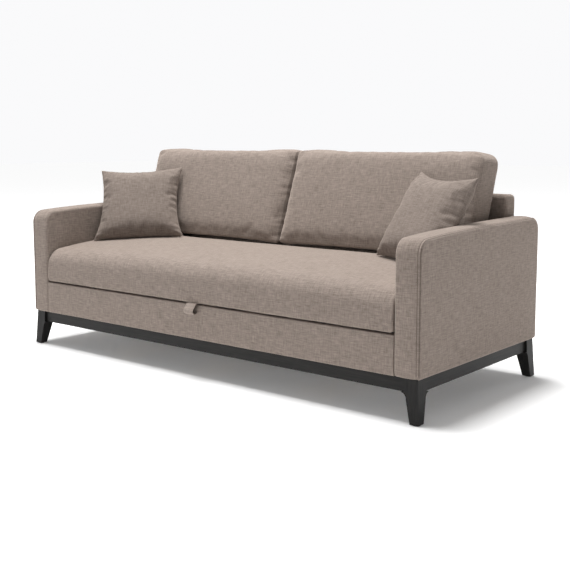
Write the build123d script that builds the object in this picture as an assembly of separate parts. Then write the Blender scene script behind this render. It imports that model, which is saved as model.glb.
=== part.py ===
"""Storage sofa: a bench seat that lifts as a lid over a box, between two upholstered arms.

Millimetres. X runs along the sofa, Y from front to back, Z up from the floor.
"""
import os
from math import cos, hypot, radians, sin, sqrt

from build123d import *

os.makedirs("parts", exist_ok=True)

# Overall sizes
WIDTH = 2050
DEPTH = 880
PULL_REACH = 22  # the pull loop stands out this far in front of the arms
BODY_BOTTOM = 153  # top of the wooden plinth, underside of the upholstery

# Plinth and legs
RAIL_HEIGHT = 48
RAIL_THICKNESS = 24
RAIL_INSET = 18
POST_WIDTH = 52
POST_INSET = 10
FOOT_WIDTH = 34
FOOT_INSET = 2
LEG_LEDGE = 14  # the shoulder reaches this far under each rail
LEG_SHOULDER_RADIUS = 22
FOOT_EDGE_RADIUS = 3
GLIDE_DIAMETER = 26
GLIDE_THICKNESS = 2
BLOCK_WIDTH = 28
BLOCK_CLEARANCE = 1.5
BLOCK_HEIGHT = 36
LEG_BOLT_RADIUS = 4
LEG_BOLT_BITE = 25
LEG_NUT_RADIUS = 9
LEG_NUT_HEIGHT = 7
BEARER_WIDTH = 45
BEARER_HEIGHT = 40
BEARER_SPACING = 520

# Storage box
PANEL = 18
FLOOR_THICKNESS = 10
BOX_TOP = 292
FASCIA_SETBACK = 2
FASCIA_PADDING = 12
FASCIA_TOP_PADDING = 6
FASCIA_EDGE_RADIUS = 8
UPHOLSTERY_GAP = 1

# Arms
ARM_THICKNESS = 100
ARM_FRONT_HEIGHT = 606
ARM_REAR_HEIGHT = 634
ARM_CORNER_RADIUS = 48
ARM_FOOT_RADIUS = 12
ARM_EDGE_RADIUS = 10
ARM_PADDING = 18
ARM_TIMBER = 55
ARM_WEB = 15
ARM_BOLT_RADIUS = 4
ARM_BOLT_HEAD = 8
ARM_BOLT_HEAD_HEIGHT = 5
ARM_BOLT_FRONT = 120  # first bolt behind the front of the arms
ARM_BOLT_PITCH = 210
ARM_BOLT_REAR = 160  # last bolt in front of the rear of the arms
ARM_BOLT_HEIGHT = 235

# Back panel and the deck behind the seat
BACK_THICKNESS = 80
BACK_TOP = 710
BACK_SETBACK = 2
BACK_PADDING = 12
BACK_EDGE_RADIUS = 9
BACK_TIMBER = 60
WEBBING_THICKNESS = 2
WEBBING_WIDTH = 50
WEBBING_COUNT = 4
WEBBING_PITCH = 95
DECK_TOP = 480
DECK_PAD = 22
DECK_BOARD = 18
DECK_CLEARANCE = 8  # behind the round rear edge of the seat
DECK_EDGE_RADIUS = 10
BEAM_THICKNESS = 30
BEAM_HEIGHT = 50

# Seat, which is the lid
LID_GAP = 6  # the dark line under the seat
SEAT_SIDE_GAP = 8
SEAT_EDGE_HEIGHT = 442  # where the front border and the top would meet without the roll between them
SEAT_ROLL_RADIUS = 78
SEAT_CROWN_MIDDLE = 480
SEAT_CROWN_END = 462
SEAT_FRONT_BOW = 4
SEAT_LOWER_RADIUS = 12
SEAT_WRAP = 15
SEAT_STEP = 40  # the flat underside ends this far in front of the hinge line
LID_RAIL_WIDTH = 30
LID_RAIL_HEIGHT = 35
LID_PLY = 9
SLAT_WIDTH = 40
SLAT_SPACING = 300
FOAM_THICKNESS = 64
FOAM_FRONT = 20
FOAM_BEHIND_AXIS = 25
FOAM_CLEARANCE = 0.2
BUMPER_RADIUS = 9
BUMPER_CLEARANCE = 0.2
BUMPER_FRONT_X = 620
BUMPER_SIDE_PLACE = 300
PULL_WIDTH = 50
PULL_HEIGHT = 42
PULL_STRAP = 2.5
PULL_TAIL = 36
PULL_CLEARANCE = 0.2

# Hinge of the lid
HINGE_REACH = 270  # hinge line in front of the back panel
AXIS_HEIGHT = 405
HINGE_PLATE = 3
HINGE_PLAY = 0.1
PIN_RADIUS = 6
PIN_CLEARANCE = 0.05
WASHER_RADIUS = 13
ARM_PLATE_WIDTH = 64
ARM_PLATE_HEIGHT = 100
PLATE_CORNER_RADIUS = 8
LID_PLATE_RADIUS = 22
LID_PLATE_FOOT = 110
LID_PLATE_FOOT_PLACE = 120
LID_PLATE_FOOT_HEIGHT = 26
SCREW_RADIUS = 2.2
SCREW_HEAD_RADIUS = 4.2
SCREW_HEAD_DEPTH = 2
SCREW_BITE = 12
ARM_SCREW_Y = 24
ARM_SCREW_Z = 40
LID_SCREW_PITCH = 40

# Gas struts
STRUT_INSET = 20  # centre of the strut from the box side
STRUT_BOX_OFFSET = 90  # box stud behind and below the hinge line
STRUT_BOX_DROP = 168
STRUT_LID_OFFSET = 110  # lid stud in front of and below the hinge line
STRUT_LID_DROP = 130
STUD_RADIUS = 5
STUD_CLEARANCE = 0.05
STRUT_PLAY = 2.5  # free play at the lid stud, where the loop of the linkage is left open
STRUT_EYE_THICKNESS = 10
STRUT_EYE_WALL = 5
TUBE_RADIUS = 9
TUBE_WALL = 1.5
TUBE_END = 150
TUBE_BASE = 8
TUBE_CAP = 6
GLAND_HEIGHT = 6
ROD_RADIUS = 4
ROD_CLEARANCE = 0.1
PISTON_PLACE = 40
PISTON_HEIGHT = 8
BRACKET = 3
BOX_BRACKET_WIDTH = 44
BOX_BRACKET_HEIGHT = 56
LID_BRACKET_WIDTH = 50
STUD_OVERHANG = 2

# Back cushions
CUSHION_LEAN = 19.5  # degrees back from upright
CUSHION_REACH = 278  # foot of the face plane in front of the back panel
CUSHION_LEFT_GAP = 10  # from each arm to the end of the cushion beside it
CUSHION_RIGHT_GAP = 38
CUSHION_SPLIT = 5
CUSHION_SPLIT_SHIFT = 18  # the split lies this far left of the middle
CUSHION_HEIGHT = 450
CUSHION_THICKNESS = 180
CUSHION_CROWN = 18
CUSHION_FACE_DRAW = 5  # the face and the top draw in towards both ends
CUSHION_TOP_DRAW = 4
CUSHION_FACE_LOW = 36  # the crowned face runs between these heights
CUSHION_FACE_HIGH = 409
CUSHION_TOP_FRONT = 30
CUSHION_TOP_REAR = 110
CUSHION_REAR_LOW = 100
CUSHION_REAR_HIGH = 392
CUSHION_REAR_CROWN = 24
CUSHION_FOOT_FRONT = 18
CUSHION_FOOT_REAR = 34
CUSHION_CORNER_BOW = 9
CUSHION_TOP_BOW = 3
CUSHION_END_RADIUS = 14
CUSHION_CLEARANCE = 0.5
CORE_INSET = 42
CORE_END_INSET = 45
CORE_CLEARANCE = 0.2

# Scatter pillows: the two poses are read from the photograph
PILLOW_WIDTH = 400
PILLOW_HEIGHT = 375
PILLOW_HALF_THICKNESS = 56
PILLOW_DRAW = 20
PILLOW_SKIN = 5
LEFT_PILLOW = dict(from_arm=154, from_cushion=90, above_deck=153.6, yaw=36.7, lean=30.8, roll=-3.2)
RIGHT_PILLOW = dict(from_arm=159, from_cushion=65, above_deck=160, yaw=-24.1, lean=28, roll=2.2)

# Lines that the pieces share
HALF = WIDTH / 2
FRONT = (PULL_REACH - DEPTH) / 2
REAR = FRONT + DEPTH
MIDDLE_Y = (FRONT + REAR) / 2
ARM_INNER = HALF - ARM_THICKNESS
SHOULDER = BODY_BOTTOM - RAIL_HEIGHT
POST_INNER = POST_INSET + POST_WIDTH
RAIL_INNER = RAIL_INSET + RAIL_THICKNESS
FASCIA_FRONT = FRONT + FASCIA_SETBACK
PANEL_FRONT = FASCIA_FRONT + FASCIA_PADDING
PANEL_BACK = PANEL_FRONT + PANEL
BOX_INNER = ARM_INNER - PANEL
BACK_FRONT = REAR - BACK_THICKNESS
SEAT_BOTTOM = BOX_TOP + LID_GAP
SEAT_HALF = ARM_INNER - SEAT_SIDE_GAP
SEAT_RADIUS = DECK_TOP - AXIS_HEIGHT
AXIS_Y = BACK_FRONT - HINGE_REACH
DECK_FRONT = AXIS_Y + SEAT_RADIUS + DECK_CLEARANCE
BOARD_TOP = DECK_TOP - DECK_PAD
BOARD_BOTTOM = BOARD_TOP - DECK_BOARD
CUSHION_Y = BACK_FRONT - CUSHION_REACH
CUSHION_LEFT_END = ARM_INNER - CUSHION_LEFT_GAP
CUSHION_RIGHT_END = ARM_INNER - CUSHION_RIGHT_GAP
LID_OUTER = SEAT_HALF - SEAT_WRAP
LID_INNER = LID_OUTER - LID_RAIL_WIDTH
LID_FRONT = FRONT + SEAT_WRAP
LID_REAR = AXIS_Y - SEAT_STEP
LID_PLY_BOTTOM = SEAT_BOTTOM + LID_RAIL_HEIGHT
FOAM_BOTTOM = LID_PLY_BOTTOM + LID_PLY
STRUT_X = BOX_INNER - STRUT_INSET
STRUT_BOX_Y = AXIS_Y + STRUT_BOX_OFFSET
STRUT_BOX_Z = AXIS_HEIGHT - STRUT_BOX_DROP
STRUT_LID_Y = AXIS_Y - STRUT_LID_OFFSET
STRUT_LID_Z = AXIS_HEIGHT - STRUT_LID_DROP
STRUT_LENGTH = hypot(STRUT_LID_Y - STRUT_BOX_Y, STRUT_LID_Z - STRUT_BOX_Z)


def block(x0, x1, y0, y1, z0, z1):
    """A box between two corners."""
    middle = Pos((x0 + x1) / 2, (y0 + y1) / 2, (z0 + z1) / 2)
    return middle * Box(x1 - x0, y1 - y0, z1 - z0)


def rod(start, direction, radius, length):
    """A round bar from a point along a direction."""
    return extrude(Plane(start, z_dir=direction) * Circle(radius), length)


def left_of(shape):
    """The same piece on the other side of the sofa."""
    return mirror(shape, about=Plane.YZ)


def rear_of(shape):
    """The same piece at the back of the plinth."""
    return mirror(shape, about=Plane((0, MIDDLE_Y, 0), z_dir=(0, 1, 0)))


def bow(start, end, out):
    """An arc that stands out to the right of the way from start to end."""
    along = (end[0] - start[0], end[1] - start[1])
    length = hypot(*along)
    middle = (
        (start[0] + end[0]) / 2 + out * along[1] / length,
        (start[1] + end[1]) / 2 - out * along[0] / length,
    )
    return ThreePointArc(start, middle, end)


def side_face(x, *edges):
    """A face in the plane at x, from edges drawn in Y and Z."""
    return Plane.YZ.offset(x) * make_face(Curve() + list(edges))


def screw(start, direction, length):
    """A countersunk screw with its head at the start."""
    head = extrude(Plane(start, z_dir=direction) * Circle(SCREW_HEAD_RADIUS), SCREW_HEAD_DEPTH, taper=42)
    return head + rod(start, direction, SCREW_RADIUS, length)


def save(node, *solids):
    """Write one node: a solid, or a group of separate solids."""
    pieces = [piece for solid in solids for piece in solid.solids()]
    shape = pieces[0] if len(pieces) == 1 else Compound(children=pieces)
    export_step(shape, f"parts/{node}.step")


# Legs: one corner at the origin, cut from two crossed side views
def leg_view():
    neck = POST_INNER + LEG_LEDGE - LEG_SHOULDER_RADIUS
    spring = SHOULDER - LEG_SHOULDER_RADIUS
    slant = LEG_SHOULDER_RADIUS * sqrt(0.5)
    outside = Polyline(
        (POST_INSET, BODY_BOTTOM),
        (FOOT_INSET, GLIDE_THICKNESS),
        (FOOT_INSET + FOOT_WIDTH, GLIDE_THICKNESS),
        (neck, spring),
    )
    hollow = ThreePointArc(
        (neck, spring),
        (neck + LEG_SHOULDER_RADIUS - slant, spring + slant),
        (neck + LEG_SHOULDER_RADIUS, SHOULDER),
    )
    post = Polyline(
        (POST_INNER + LEG_LEDGE, SHOULDER),
        (POST_INNER, SHOULDER),
        (POST_INNER, BODY_BOTTOM),
        (POST_INSET, BODY_BOTTOM),
    )
    return make_face(outside + hollow + post)


def corner_leg():
    reach = POST_INNER + LEG_LEDGE
    across = extrude(Plane.XZ * leg_view(), -reach)
    along = extrude(Plane.YZ * leg_view(), reach)
    leg = across & along
    return fillet(leg.faces().sort_by(Axis.Z)[0].edges(), FOOT_EDGE_RADIUS)


def corner_brace():
    """The diagonal block that ties the post to both rails."""
    near = 2 * POST_INNER + BLOCK_CLEARANCE - RAIL_INNER
    far = near + BLOCK_WIDTH * sqrt(2)
    outline = Polyline((near, RAIL_INNER), (far, RAIL_INNER), (RAIL_INNER, far), (RAIL_INNER, near), close=True)
    bottom = BODY_BOTTOM - (RAIL_HEIGHT + BLOCK_HEIGHT) / 2
    return extrude(Plane.XY.offset(bottom) * make_face(outline), BLOCK_HEIGHT)


def corner_bolt():
    """A bolt from the brace into the post, with its nut."""
    face = POST_INNER + BLOCK_CLEARANCE / 2 + BLOCK_WIDTH * sqrt(0.5)
    middle = BODY_BOTTOM - RAIL_HEIGHT / 2
    inward = (-1, -1, 0)
    grip = BLOCK_WIDTH + LEG_BOLT_BITE
    nut_seat = (face, face, middle)
    outside = face + LEG_NUT_HEIGHT * sqrt(0.5)
    shank = rod((outside, outside, middle), inward, LEG_BOLT_RADIUS, grip + LEG_NUT_HEIGHT)
    nut = extrude(Plane(nut_seat, z_dir=(1, 1, 0)) * RegularPolygon(LEG_NUT_RADIUS, 6), LEG_NUT_HEIGHT)
    return shank + nut


def at_corners(piece):
    """Front left, front right, rear left and rear right copies of a corner piece."""
    front_left = Pos(-HALF, FRONT, 0) * piece
    front_right = left_of(front_left)
    return front_left, front_right, rear_of(front_left), rear_of(front_right)


bolt = corner_bolt()
legs = at_corners(corner_leg() - bolt)
for node, leg in zip(("leg_front_left", "leg_front_right", "leg_rear_left", "leg_rear_right"), legs):
    save(node, leg)
save("corner_blocks", *at_corners(corner_brace() - bolt))
save("leg_bolts", *at_corners(bolt))
foot_middle = FOOT_INSET + FOOT_WIDTH / 2
glide = Pos(foot_middle, foot_middle, GLIDE_THICKNESS / 2) * Cylinder(GLIDE_DIAMETER / 2, GLIDE_THICKNESS)
save("foot_glides", *at_corners(glide))

# Plinth rails and the bearers between them
rail_x = HALF - POST_INNER
front_rail = block(-rail_x, rail_x, FRONT + RAIL_INSET, FRONT + RAIL_INNER, SHOULDER, BODY_BOTTOM)
right_rail = block(HALF - RAIL_INNER, HALF - RAIL_INSET, FRONT + POST_INNER, REAR - POST_INNER, SHOULDER, BODY_BOTTOM)
save("plinth_front_rail", front_rail)
save("plinth_rear_rail", rear_of(front_rail))
save("plinth_right_rail", right_rail)
save("plinth_left_rail", left_of(right_rail))
bearer = block(
    -BEARER_WIDTH / 2, BEARER_WIDTH / 2,
    FRONT + RAIL_INNER, REAR - RAIL_INNER,
    BODY_BOTTOM - BEARER_HEIGHT, BODY_BOTTOM,
)
save("floor_bearers", *[Pos(step * BEARER_SPACING, 0, 0) * bearer for step in (-1, 0, 1)])

# Storage box: floor, front panel with its padded fascia, and two sides
save("box_floor", block(-BOX_INNER, BOX_INNER, PANEL_BACK, BACK_FRONT, BODY_BOTTOM, BODY_BOTTOM + FLOOR_THICKNESS))
panel_half = ARM_INNER - UPHOLSTERY_GAP - FASCIA_TOP_PADDING
front_panel = block(-panel_half, panel_half, PANEL_FRONT, PANEL_BACK, BODY_BOTTOM, BOX_TOP - FASCIA_TOP_PADDING)
save("box_front_panel", front_panel)
fascia_half = ARM_INNER - UPHOLSTERY_GAP
fascia = block(-fascia_half, fascia_half, FASCIA_FRONT, PANEL_BACK, BODY_BOTTOM, BOX_TOP)
fascia = fillet(fascia.edges().filter_by(Axis.X).group_by(Axis.Y)[0], FASCIA_EDGE_RADIUS)
save("fascia_cover", fascia - front_panel)

# Arms: a timber frame inside a padded cover that is open below
def arm_view(inset, foot):
    """Side view of an arm, drawn in by the inset on the front, top and rear."""
    rise = (ARM_REAR_HEIGHT - ARM_FRONT_HEIGHT) / DEPTH
    corners = [
        (FRONT + inset, foot),
        (REAR - inset, foot),
        (REAR - inset, ARM_REAR_HEIGHT - inset - rise * inset),
        (FRONT + inset, ARM_FRONT_HEIGHT - inset + rise * inset),
    ]
    return make_face(Polyline(*corners, close=True))


def arm_outside():
    view = arm_view(0, BODY_BOTTOM)
    view = fillet(view.vertices().sort_by(Axis.Y)[2:], ARM_CORNER_RADIUS)
    view = fillet(view.vertices().sort_by(Axis.Y)[:2], ARM_FOOT_RADIUS)
    slab = extrude(Plane.YZ.offset(ARM_INNER) * view, ARM_THICKNESS)
    inner_edges = slab.faces().sort_by(Axis.X)[0].edges()
    outer_edges = slab.faces().sort_by(Axis.X)[-1].edges()
    return fillet(inner_edges + outer_edges, ARM_EDGE_RADIUS)


def arm_hollow():
    view = arm_view(ARM_PADDING, BODY_BOTTOM)
    view = fillet(view.vertices().sort_by(Axis.Y)[2:], ARM_CORNER_RADIUS - ARM_PADDING)
    return extrude(Plane.YZ.offset(ARM_INNER + ARM_PADDING) * view, ARM_THICKNESS - 2 * ARM_PADDING)


def arm_timbers(hollow):
    """Two posts, two rails and the web panel on the side towards the seat."""
    near = ARM_INNER + ARM_PADDING
    far = HALF - ARM_PADDING
    post_front = FRONT + ARM_PADDING + ARM_TIMBER
    post_rear = REAR - ARM_PADDING - ARM_TIMBER
    between = block(near, far, post_front, post_rear, 0, ARM_REAR_HEIGHT)
    under_rail = Pos(0, 0, -ARM_TIMBER) * hollow
    foot = block(near, far, post_front, post_rear, BODY_BOTTOM, BODY_BOTTOM + ARM_TIMBER)
    above_foot = block(near, near + ARM_WEB, post_front, post_rear, BODY_BOTTOM + ARM_TIMBER, ARM_REAR_HEIGHT)
    return [
        hollow & block(near, far, FRONT, post_front, 0, ARM_REAR_HEIGHT),
        hollow & block(near, far, post_rear, REAR, 0, ARM_REAR_HEIGHT),
        (hollow - under_rail) & between,
        foot,
        under_rail & above_foot,
    ]


def arm_bolt(y):
    """A bolt from inside the box, through its side, into the arm's web panel."""
    start = (BOX_INNER - ARM_BOLT_HEAD_HEIGHT, y, ARM_BOLT_HEIGHT)
    grip = ARM_BOLT_HEAD_HEIGHT + PANEL + ARM_PADDING + ARM_WEB
    head = rod(start, (1, 0, 0), ARM_BOLT_HEAD, ARM_BOLT_HEAD_HEIGHT)
    return head + rod(start, (1, 0, 0), ARM_BOLT_RADIUS, grip)


first_bolt = FRONT + ARM_BOLT_FRONT
arm_bolts = [arm_bolt(y) for y in (first_bolt, first_bolt + ARM_BOLT_PITCH, REAR - ARM_BOLT_REAR)]
save("arm_bolts", *arm_bolts, *[left_of(piece) for piece in arm_bolts])
box_side = block(BOX_INNER, ARM_INNER, PANEL_BACK, BACK_FRONT, BODY_BOTTOM, BOX_TOP)
for piece in arm_bolts:
    box_side -= piece
save("box_right_side", box_side)
save("box_left_side", left_of(box_side))

# Hinges: a plate on each arm, a plate on each end of the lid, a pin and a washer between
def arm_screw(side, level):
    start = (ARM_INNER - HINGE_PLATE, AXIS_Y + side * ARM_SCREW_Y, AXIS_HEIGHT + level * ARM_SCREW_Z)
    return screw(start, (1, 0, 0), HINGE_PLATE + ARM_PADDING + SCREW_BITE)


def lid_screw(step):
    place = AXIS_Y - LID_PLATE_FOOT_PLACE + step * LID_SCREW_PITCH
    start = (SEAT_HALF + HINGE_PLATE, place, SEAT_BOTTOM + LID_RAIL_HEIGHT / 2)
    return screw(start, (-1, 0, 0), HINGE_PLATE + SEAT_WRAP + SCREW_BITE)


def hinge_arm_plate():
    view = Pos(AXIS_Y, AXIS_HEIGHT) * RectangleRounded(ARM_PLATE_WIDTH, ARM_PLATE_HEIGHT, PLATE_CORNER_RADIUS)
    return extrude(Plane.YZ.offset(ARM_INNER - HINGE_PLATE) * view, HINGE_PLATE)


def hinge_lid_plate():
    eye = Pos(AXIS_Y, AXIS_HEIGHT) * Circle(LID_PLATE_RADIUS)
    foot_middle_y = AXIS_Y - LID_PLATE_FOOT_PLACE
    foot = Pos(foot_middle_y, SEAT_BOTTOM + LID_RAIL_HEIGHT / 2) * Rectangle(LID_PLATE_FOOT, LID_PLATE_FOOT_HEIGHT)
    view = make_hull(eye.edges() + foot.edges())
    view -= Pos(AXIS_Y, AXIS_HEIGHT) * Circle(PIN_RADIUS + PIN_CLEARANCE)
    return extrude(Plane.YZ.offset(SEAT_HALF) * view, HINGE_PLATE)


arm_screws = [arm_screw(side, level) for side in (-1, 1) for level in (-1, 1)]
lid_screws = [lid_screw(step) for step in (-1, 0, 1)]
pin = rod((SEAT_HALF, AXIS_Y, AXIS_HEIGHT), (1, 0, 0), PIN_RADIUS, SEAT_SIDE_GAP)
washer_start = SEAT_HALF + HINGE_PLATE + HINGE_PLAY
washer_view = Circle(WASHER_RADIUS) - Circle(PIN_RADIUS)
washer_plane = Plane((washer_start, AXIS_Y, AXIS_HEIGHT), z_dir=(1, 0, 0))
washer = extrude(washer_plane * washer_view, SEAT_SIDE_GAP - 2 * HINGE_PLATE - HINGE_PLAY)
arm_plate = hinge_arm_plate() - pin
for piece in arm_screws:
    arm_plate -= piece
lid_plate = hinge_lid_plate()
for piece in lid_screws:
    lid_plate -= piece
save("hinge_arm_plates", arm_plate, left_of(arm_plate))
save("hinge_lid_plates", lid_plate, left_of(lid_plate))
save("hinge_pins", pin, left_of(pin))
save("hinge_washers", washer, left_of(washer))
save("hinge_arm_screws", *arm_screws, *[left_of(piece) for piece in arm_screws])
save("hinge_lid_screws", *lid_screws, *[left_of(piece) for piece in lid_screws])

hollow = arm_hollow()
cover = arm_outside() - hollow
timbers = arm_timbers(hollow)
for piece in arm_bolts + arm_screws:
    cover -= piece
    timbers[-1] -= piece
save("right_arm_cover", cover)
save("left_arm_cover", left_of(cover))
save("right_arm_frame", *timbers)
save("left_arm_frame", *[left_of(timber) for timber in timbers])

# Back panel: posts and rails with webbing, inside a padded cover that is open below
back_half = ARM_INNER - UPHOLSTERY_GAP
back_rear = REAR - BACK_SETBACK
back_block = block(-back_half, back_half, BACK_FRONT, back_rear, BODY_BOTTOM, BACK_TOP)
back_block = fillet(back_block.edges().group_by(Axis.Z)[-1], BACK_EDGE_RADIUS)
inner_half = back_half - BACK_PADDING
inner_front = BACK_FRONT + BACK_PADDING
inner_rear = back_rear - BACK_PADDING
inner_top = BACK_TOP - BACK_PADDING
save("back_cover", back_block - block(-inner_half, inner_half, inner_front, inner_rear, BODY_BOTTOM, inner_top))
timber_front = inner_front + WEBBING_THICKNESS
back_rails = [
    block(-inner_half, inner_half, timber_front, inner_rear, inner_top - BACK_TIMBER, inner_top),
    block(-inner_half, inner_half, timber_front, inner_rear, BODY_BOTTOM, BODY_BOTTOM + BACK_TIMBER),
]
post_centre = inner_half - BACK_TIMBER / 2
back_posts = [
    block(
        x - BACK_TIMBER / 2, x + BACK_TIMBER / 2, timber_front, inner_rear,
        BODY_BOTTOM + BACK_TIMBER, inner_top - BACK_TIMBER,
    )
    for x in (-post_centre, 0, post_centre)
]
save("back_frame", *back_rails, *back_posts)
strap_middle = DECK_TOP
straps = []
for step in range(WEBBING_COUNT):
    level = strap_middle + (step - (WEBBING_COUNT - 1) / 2) * WEBBING_PITCH
    straps.append(
        block(
            -inner_half, inner_half, inner_front, timber_front,
            level - WEBBING_WIDTH / 2, level + WEBBING_WIDTH / 2,
        )
    )
save("back_webbing", *straps)

# Deck behind the seat, which carries the back cushions
deck_half = ARM_INNER - UPHOLSTERY_GAP
save("deck_board", block(-ARM_INNER, ARM_INNER, DECK_FRONT, BACK_FRONT, BOARD_BOTTOM, BOARD_TOP))
deck_pad = block(-deck_half, deck_half, DECK_FRONT, BACK_FRONT, BOARD_TOP, DECK_TOP)
pad_nose = deck_pad.edges().filter_by(Axis.X).group_by(Axis.Y)[0].sort_by(Axis.Z)[-1]
save("deck_pad", fillet(pad_nose, DECK_EDGE_RADIUS))
beam = block(-ARM_INNER, ARM_INNER, DECK_FRONT, DECK_FRONT + BEAM_THICKNESS, BOARD_BOTTOM - BEAM_HEIGHT, BOARD_BOTTOM)
ledger = block(-ARM_INNER, ARM_INNER, BACK_FRONT - BEAM_THICKNESS, BACK_FRONT, BOARD_BOTTOM - BEAM_HEIGHT, BOARD_BOTTOM)
save("deck_beams", beam, ledger)

# Lid frame
lid_top = LID_PLY_BOTTOM
rail_front_back = LID_FRONT + LID_RAIL_WIDTH
rail_rear_front = LID_REAR - LID_RAIL_WIDTH
save("lid_front_rail", block(-LID_OUTER, LID_OUTER, LID_FRONT, rail_front_back, SEAT_BOTTOM, lid_top))
save("lid_rear_rail", block(-LID_INNER, LID_INNER, rail_rear_front, LID_REAR, SEAT_BOTTOM, lid_top))
lid_side = block(LID_INNER, LID_OUTER, rail_front_back, LID_REAR, SEAT_BOTTOM, lid_top)
for piece in lid_screws:
    lid_side -= piece
save("lid_right_rail", lid_side)
save("lid_left_rail", left_of(lid_side))
slat = block(-SLAT_WIDTH / 2, SLAT_WIDTH / 2, rail_front_back, rail_rear_front, SEAT_BOTTOM, lid_top)
save("lid_slats", *[Pos(step * SLAT_SPACING, 0, 0) * slat for step in (-2, -1, 0, 1, 2)])
save("lid_deck", block(-LID_OUTER, LID_OUTER, LID_FRONT, LID_REAR, lid_top, FOAM_BOTTOM))

# Seat: foam inside a crowned cover, whose rear edge is round about the hinge line
def seat_view(x, crown):
    low_rear = (AXIS_Y, AXIS_HEIGHT - SEAT_RADIUS)
    far_rear = (AXIS_Y + SEAT_RADIUS, AXIS_HEIGHT)
    top_rear = (AXIS_Y, DECK_TOP)
    step = (LID_REAR, SEAT_BOTTOM)
    seam = (FRONT, SEAT_EDGE_HEIGHT)
    front_low = (FRONT, SEAT_BOTTOM + SEAT_LOWER_RADIUS)
    under_front = (FRONT + SEAT_LOWER_RADIUS, SEAT_BOTTOM)
    quarter = SEAT_RADIUS * (1 - sqrt(0.5))
    nose = SEAT_LOWER_RADIUS * (sqrt(0.5) - 0.5)
    outline = [
        Line(under_front, step),
        Line(step, low_rear),
        bow(low_rear, far_rear, quarter),
        bow(far_rear, top_rear, quarter),
        ThreePointArc(top_rear, ((FRONT + AXIS_Y) / 2, crown), seam),
        bow(seam, front_low, SEAT_FRONT_BOW),
        bow(front_low, under_front, nose),
    ]
    view = make_face(Curve() + outline)
    corner = view.vertices().sort_by_distance((*seam, 0))[0]
    return Plane.YZ.offset(x) * fillet(corner, SEAT_ROLL_RADIUS)


foam = block(
    -LID_OUTER, LID_OUTER, FRONT + FOAM_FRONT, AXIS_Y + FOAM_BEHIND_AXIS,
    FOAM_BOTTOM, FOAM_BOTTOM + FOAM_THICKNESS,
)
foam_room = block(
    -LID_OUTER - FOAM_CLEARANCE, LID_OUTER + FOAM_CLEARANCE,
    FRONT + FOAM_FRONT - FOAM_CLEARANCE, AXIS_Y + FOAM_BEHIND_AXIS + FOAM_CLEARANCE,
    FOAM_BOTTOM, FOAM_BOTTOM + FOAM_THICKNESS + FOAM_CLEARANCE,
)
frame_room = block(-LID_OUTER, LID_OUTER, LID_FRONT, LID_REAR, SEAT_BOTTOM, FOAM_BOTTOM)
seat = loft([
    seat_view(-SEAT_HALF, SEAT_CROWN_END),
    seat_view(0, SEAT_CROWN_MIDDLE),
    seat_view(SEAT_HALF, SEAT_CROWN_END),
])
seat = seat - frame_room - foam_room
for piece in lid_screws:
    seat = seat - piece - left_of(piece)
save("seat_foam", foam)
save("seat_cover", seat)

# Bumpers that the closed lid rests on
bumper_height = LID_GAP - BUMPER_CLEARANCE
bumper = Pos(0, 0, BOX_TOP + bumper_height / 2) * Cylinder(BUMPER_RADIUS, bumper_height)
front_bumper = Pos(BUMPER_FRONT_X, (PANEL_FRONT + PANEL_BACK) / 2, 0) * bumper
side_bumper = Pos(BOX_INNER + BUMPER_RADIUS, FRONT + BUMPER_SIDE_PLACE, 0) * bumper
save("lid_bumpers", front_bumper, left_of(front_bumper), side_bumper, left_of(side_bumper))

# Pull loop: a strap folded into a loop, with its tail under the front of the lid
pull_depth = PULL_REACH - 2 * PULL_CLEARANCE
pull_top = SEAT_BOTTOM - PULL_CLEARANCE
pull_y = FRONT - PULL_REACH + pull_depth / 2
loop_view = SlotOverall(PULL_HEIGHT, pull_depth, rotation=90)
loop_view -= SlotOverall(PULL_HEIGHT - 2 * PULL_STRAP, pull_depth - 2 * PULL_STRAP, rotation=90)
loop_plane = Plane.YZ.offset(-PULL_WIDTH / 2)
loop = extrude(loop_plane * Pos(pull_y, pull_top - PULL_HEIGHT / 2) * loop_view, PULL_WIDTH)
tail = block(-PULL_WIDTH / 2, PULL_WIDTH / 2, pull_y, FRONT + PULL_TAIL, pull_top - PULL_STRAP, pull_top)
save("pull_loop", loop + tail)

# Gas struts, drawn upright with the box stud at the origin
eye_outer = STUD_RADIUS + STUD_CLEARANCE + STRUT_EYE_WALL
loose_bore = STUD_RADIUS + STRUT_PLAY
bore = TUBE_RADIUS - TUBE_WALL


def eye(height, outer, inner):
    ring = Circle(outer) - Circle(inner)
    return extrude(Plane((-STRUT_EYE_THICKNESS / 2, 0, height), z_dir=(1, 0, 0)) * ring, STRUT_EYE_THICKNESS)


def strut_cylinder():
    tube = extrude(Plane.XY.offset(TUBE_BASE) * Circle(TUBE_RADIUS), TUBE_END - TUBE_BASE)
    tube -= extrude(Plane.XY.offset(TUBE_BASE + TUBE_CAP) * Circle(bore), TUBE_END - TUBE_BASE - TUBE_CAP)
    tube -= rod((-TUBE_RADIUS, 0, 0), (1, 0, 0), eye_outer, 2 * TUBE_RADIUS)
    gland = Circle(bore) - Circle(ROD_RADIUS + ROD_CLEARANCE)
    gland = extrude(Plane.XY.offset(TUBE_END - GLAND_HEIGHT) * gland, GLAND_HEIGHT)
    return tube + eye(0, eye_outer, STUD_RADIUS + STUD_CLEARANCE) + gland


def strut_rod():
    bar = rod((0, 0, PISTON_PLACE), (0, 0, 1), ROD_RADIUS, STRUT_LENGTH - loose_bore - PISTON_PLACE)
    piston = rod((0, 0, PISTON_PLACE), (0, 0, 1), bore - ROD_CLEARANCE, PISTON_HEIGHT)
    return bar + piston + eye(STRUT_LENGTH, loose_bore + STRUT_EYE_WALL, loose_bore) - rod(
        (-STRUT_EYE_THICKNESS, 0, STRUT_LENGTH), (1, 0, 0), loose_bore, 2 * STRUT_EYE_THICKNESS
    )


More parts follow.
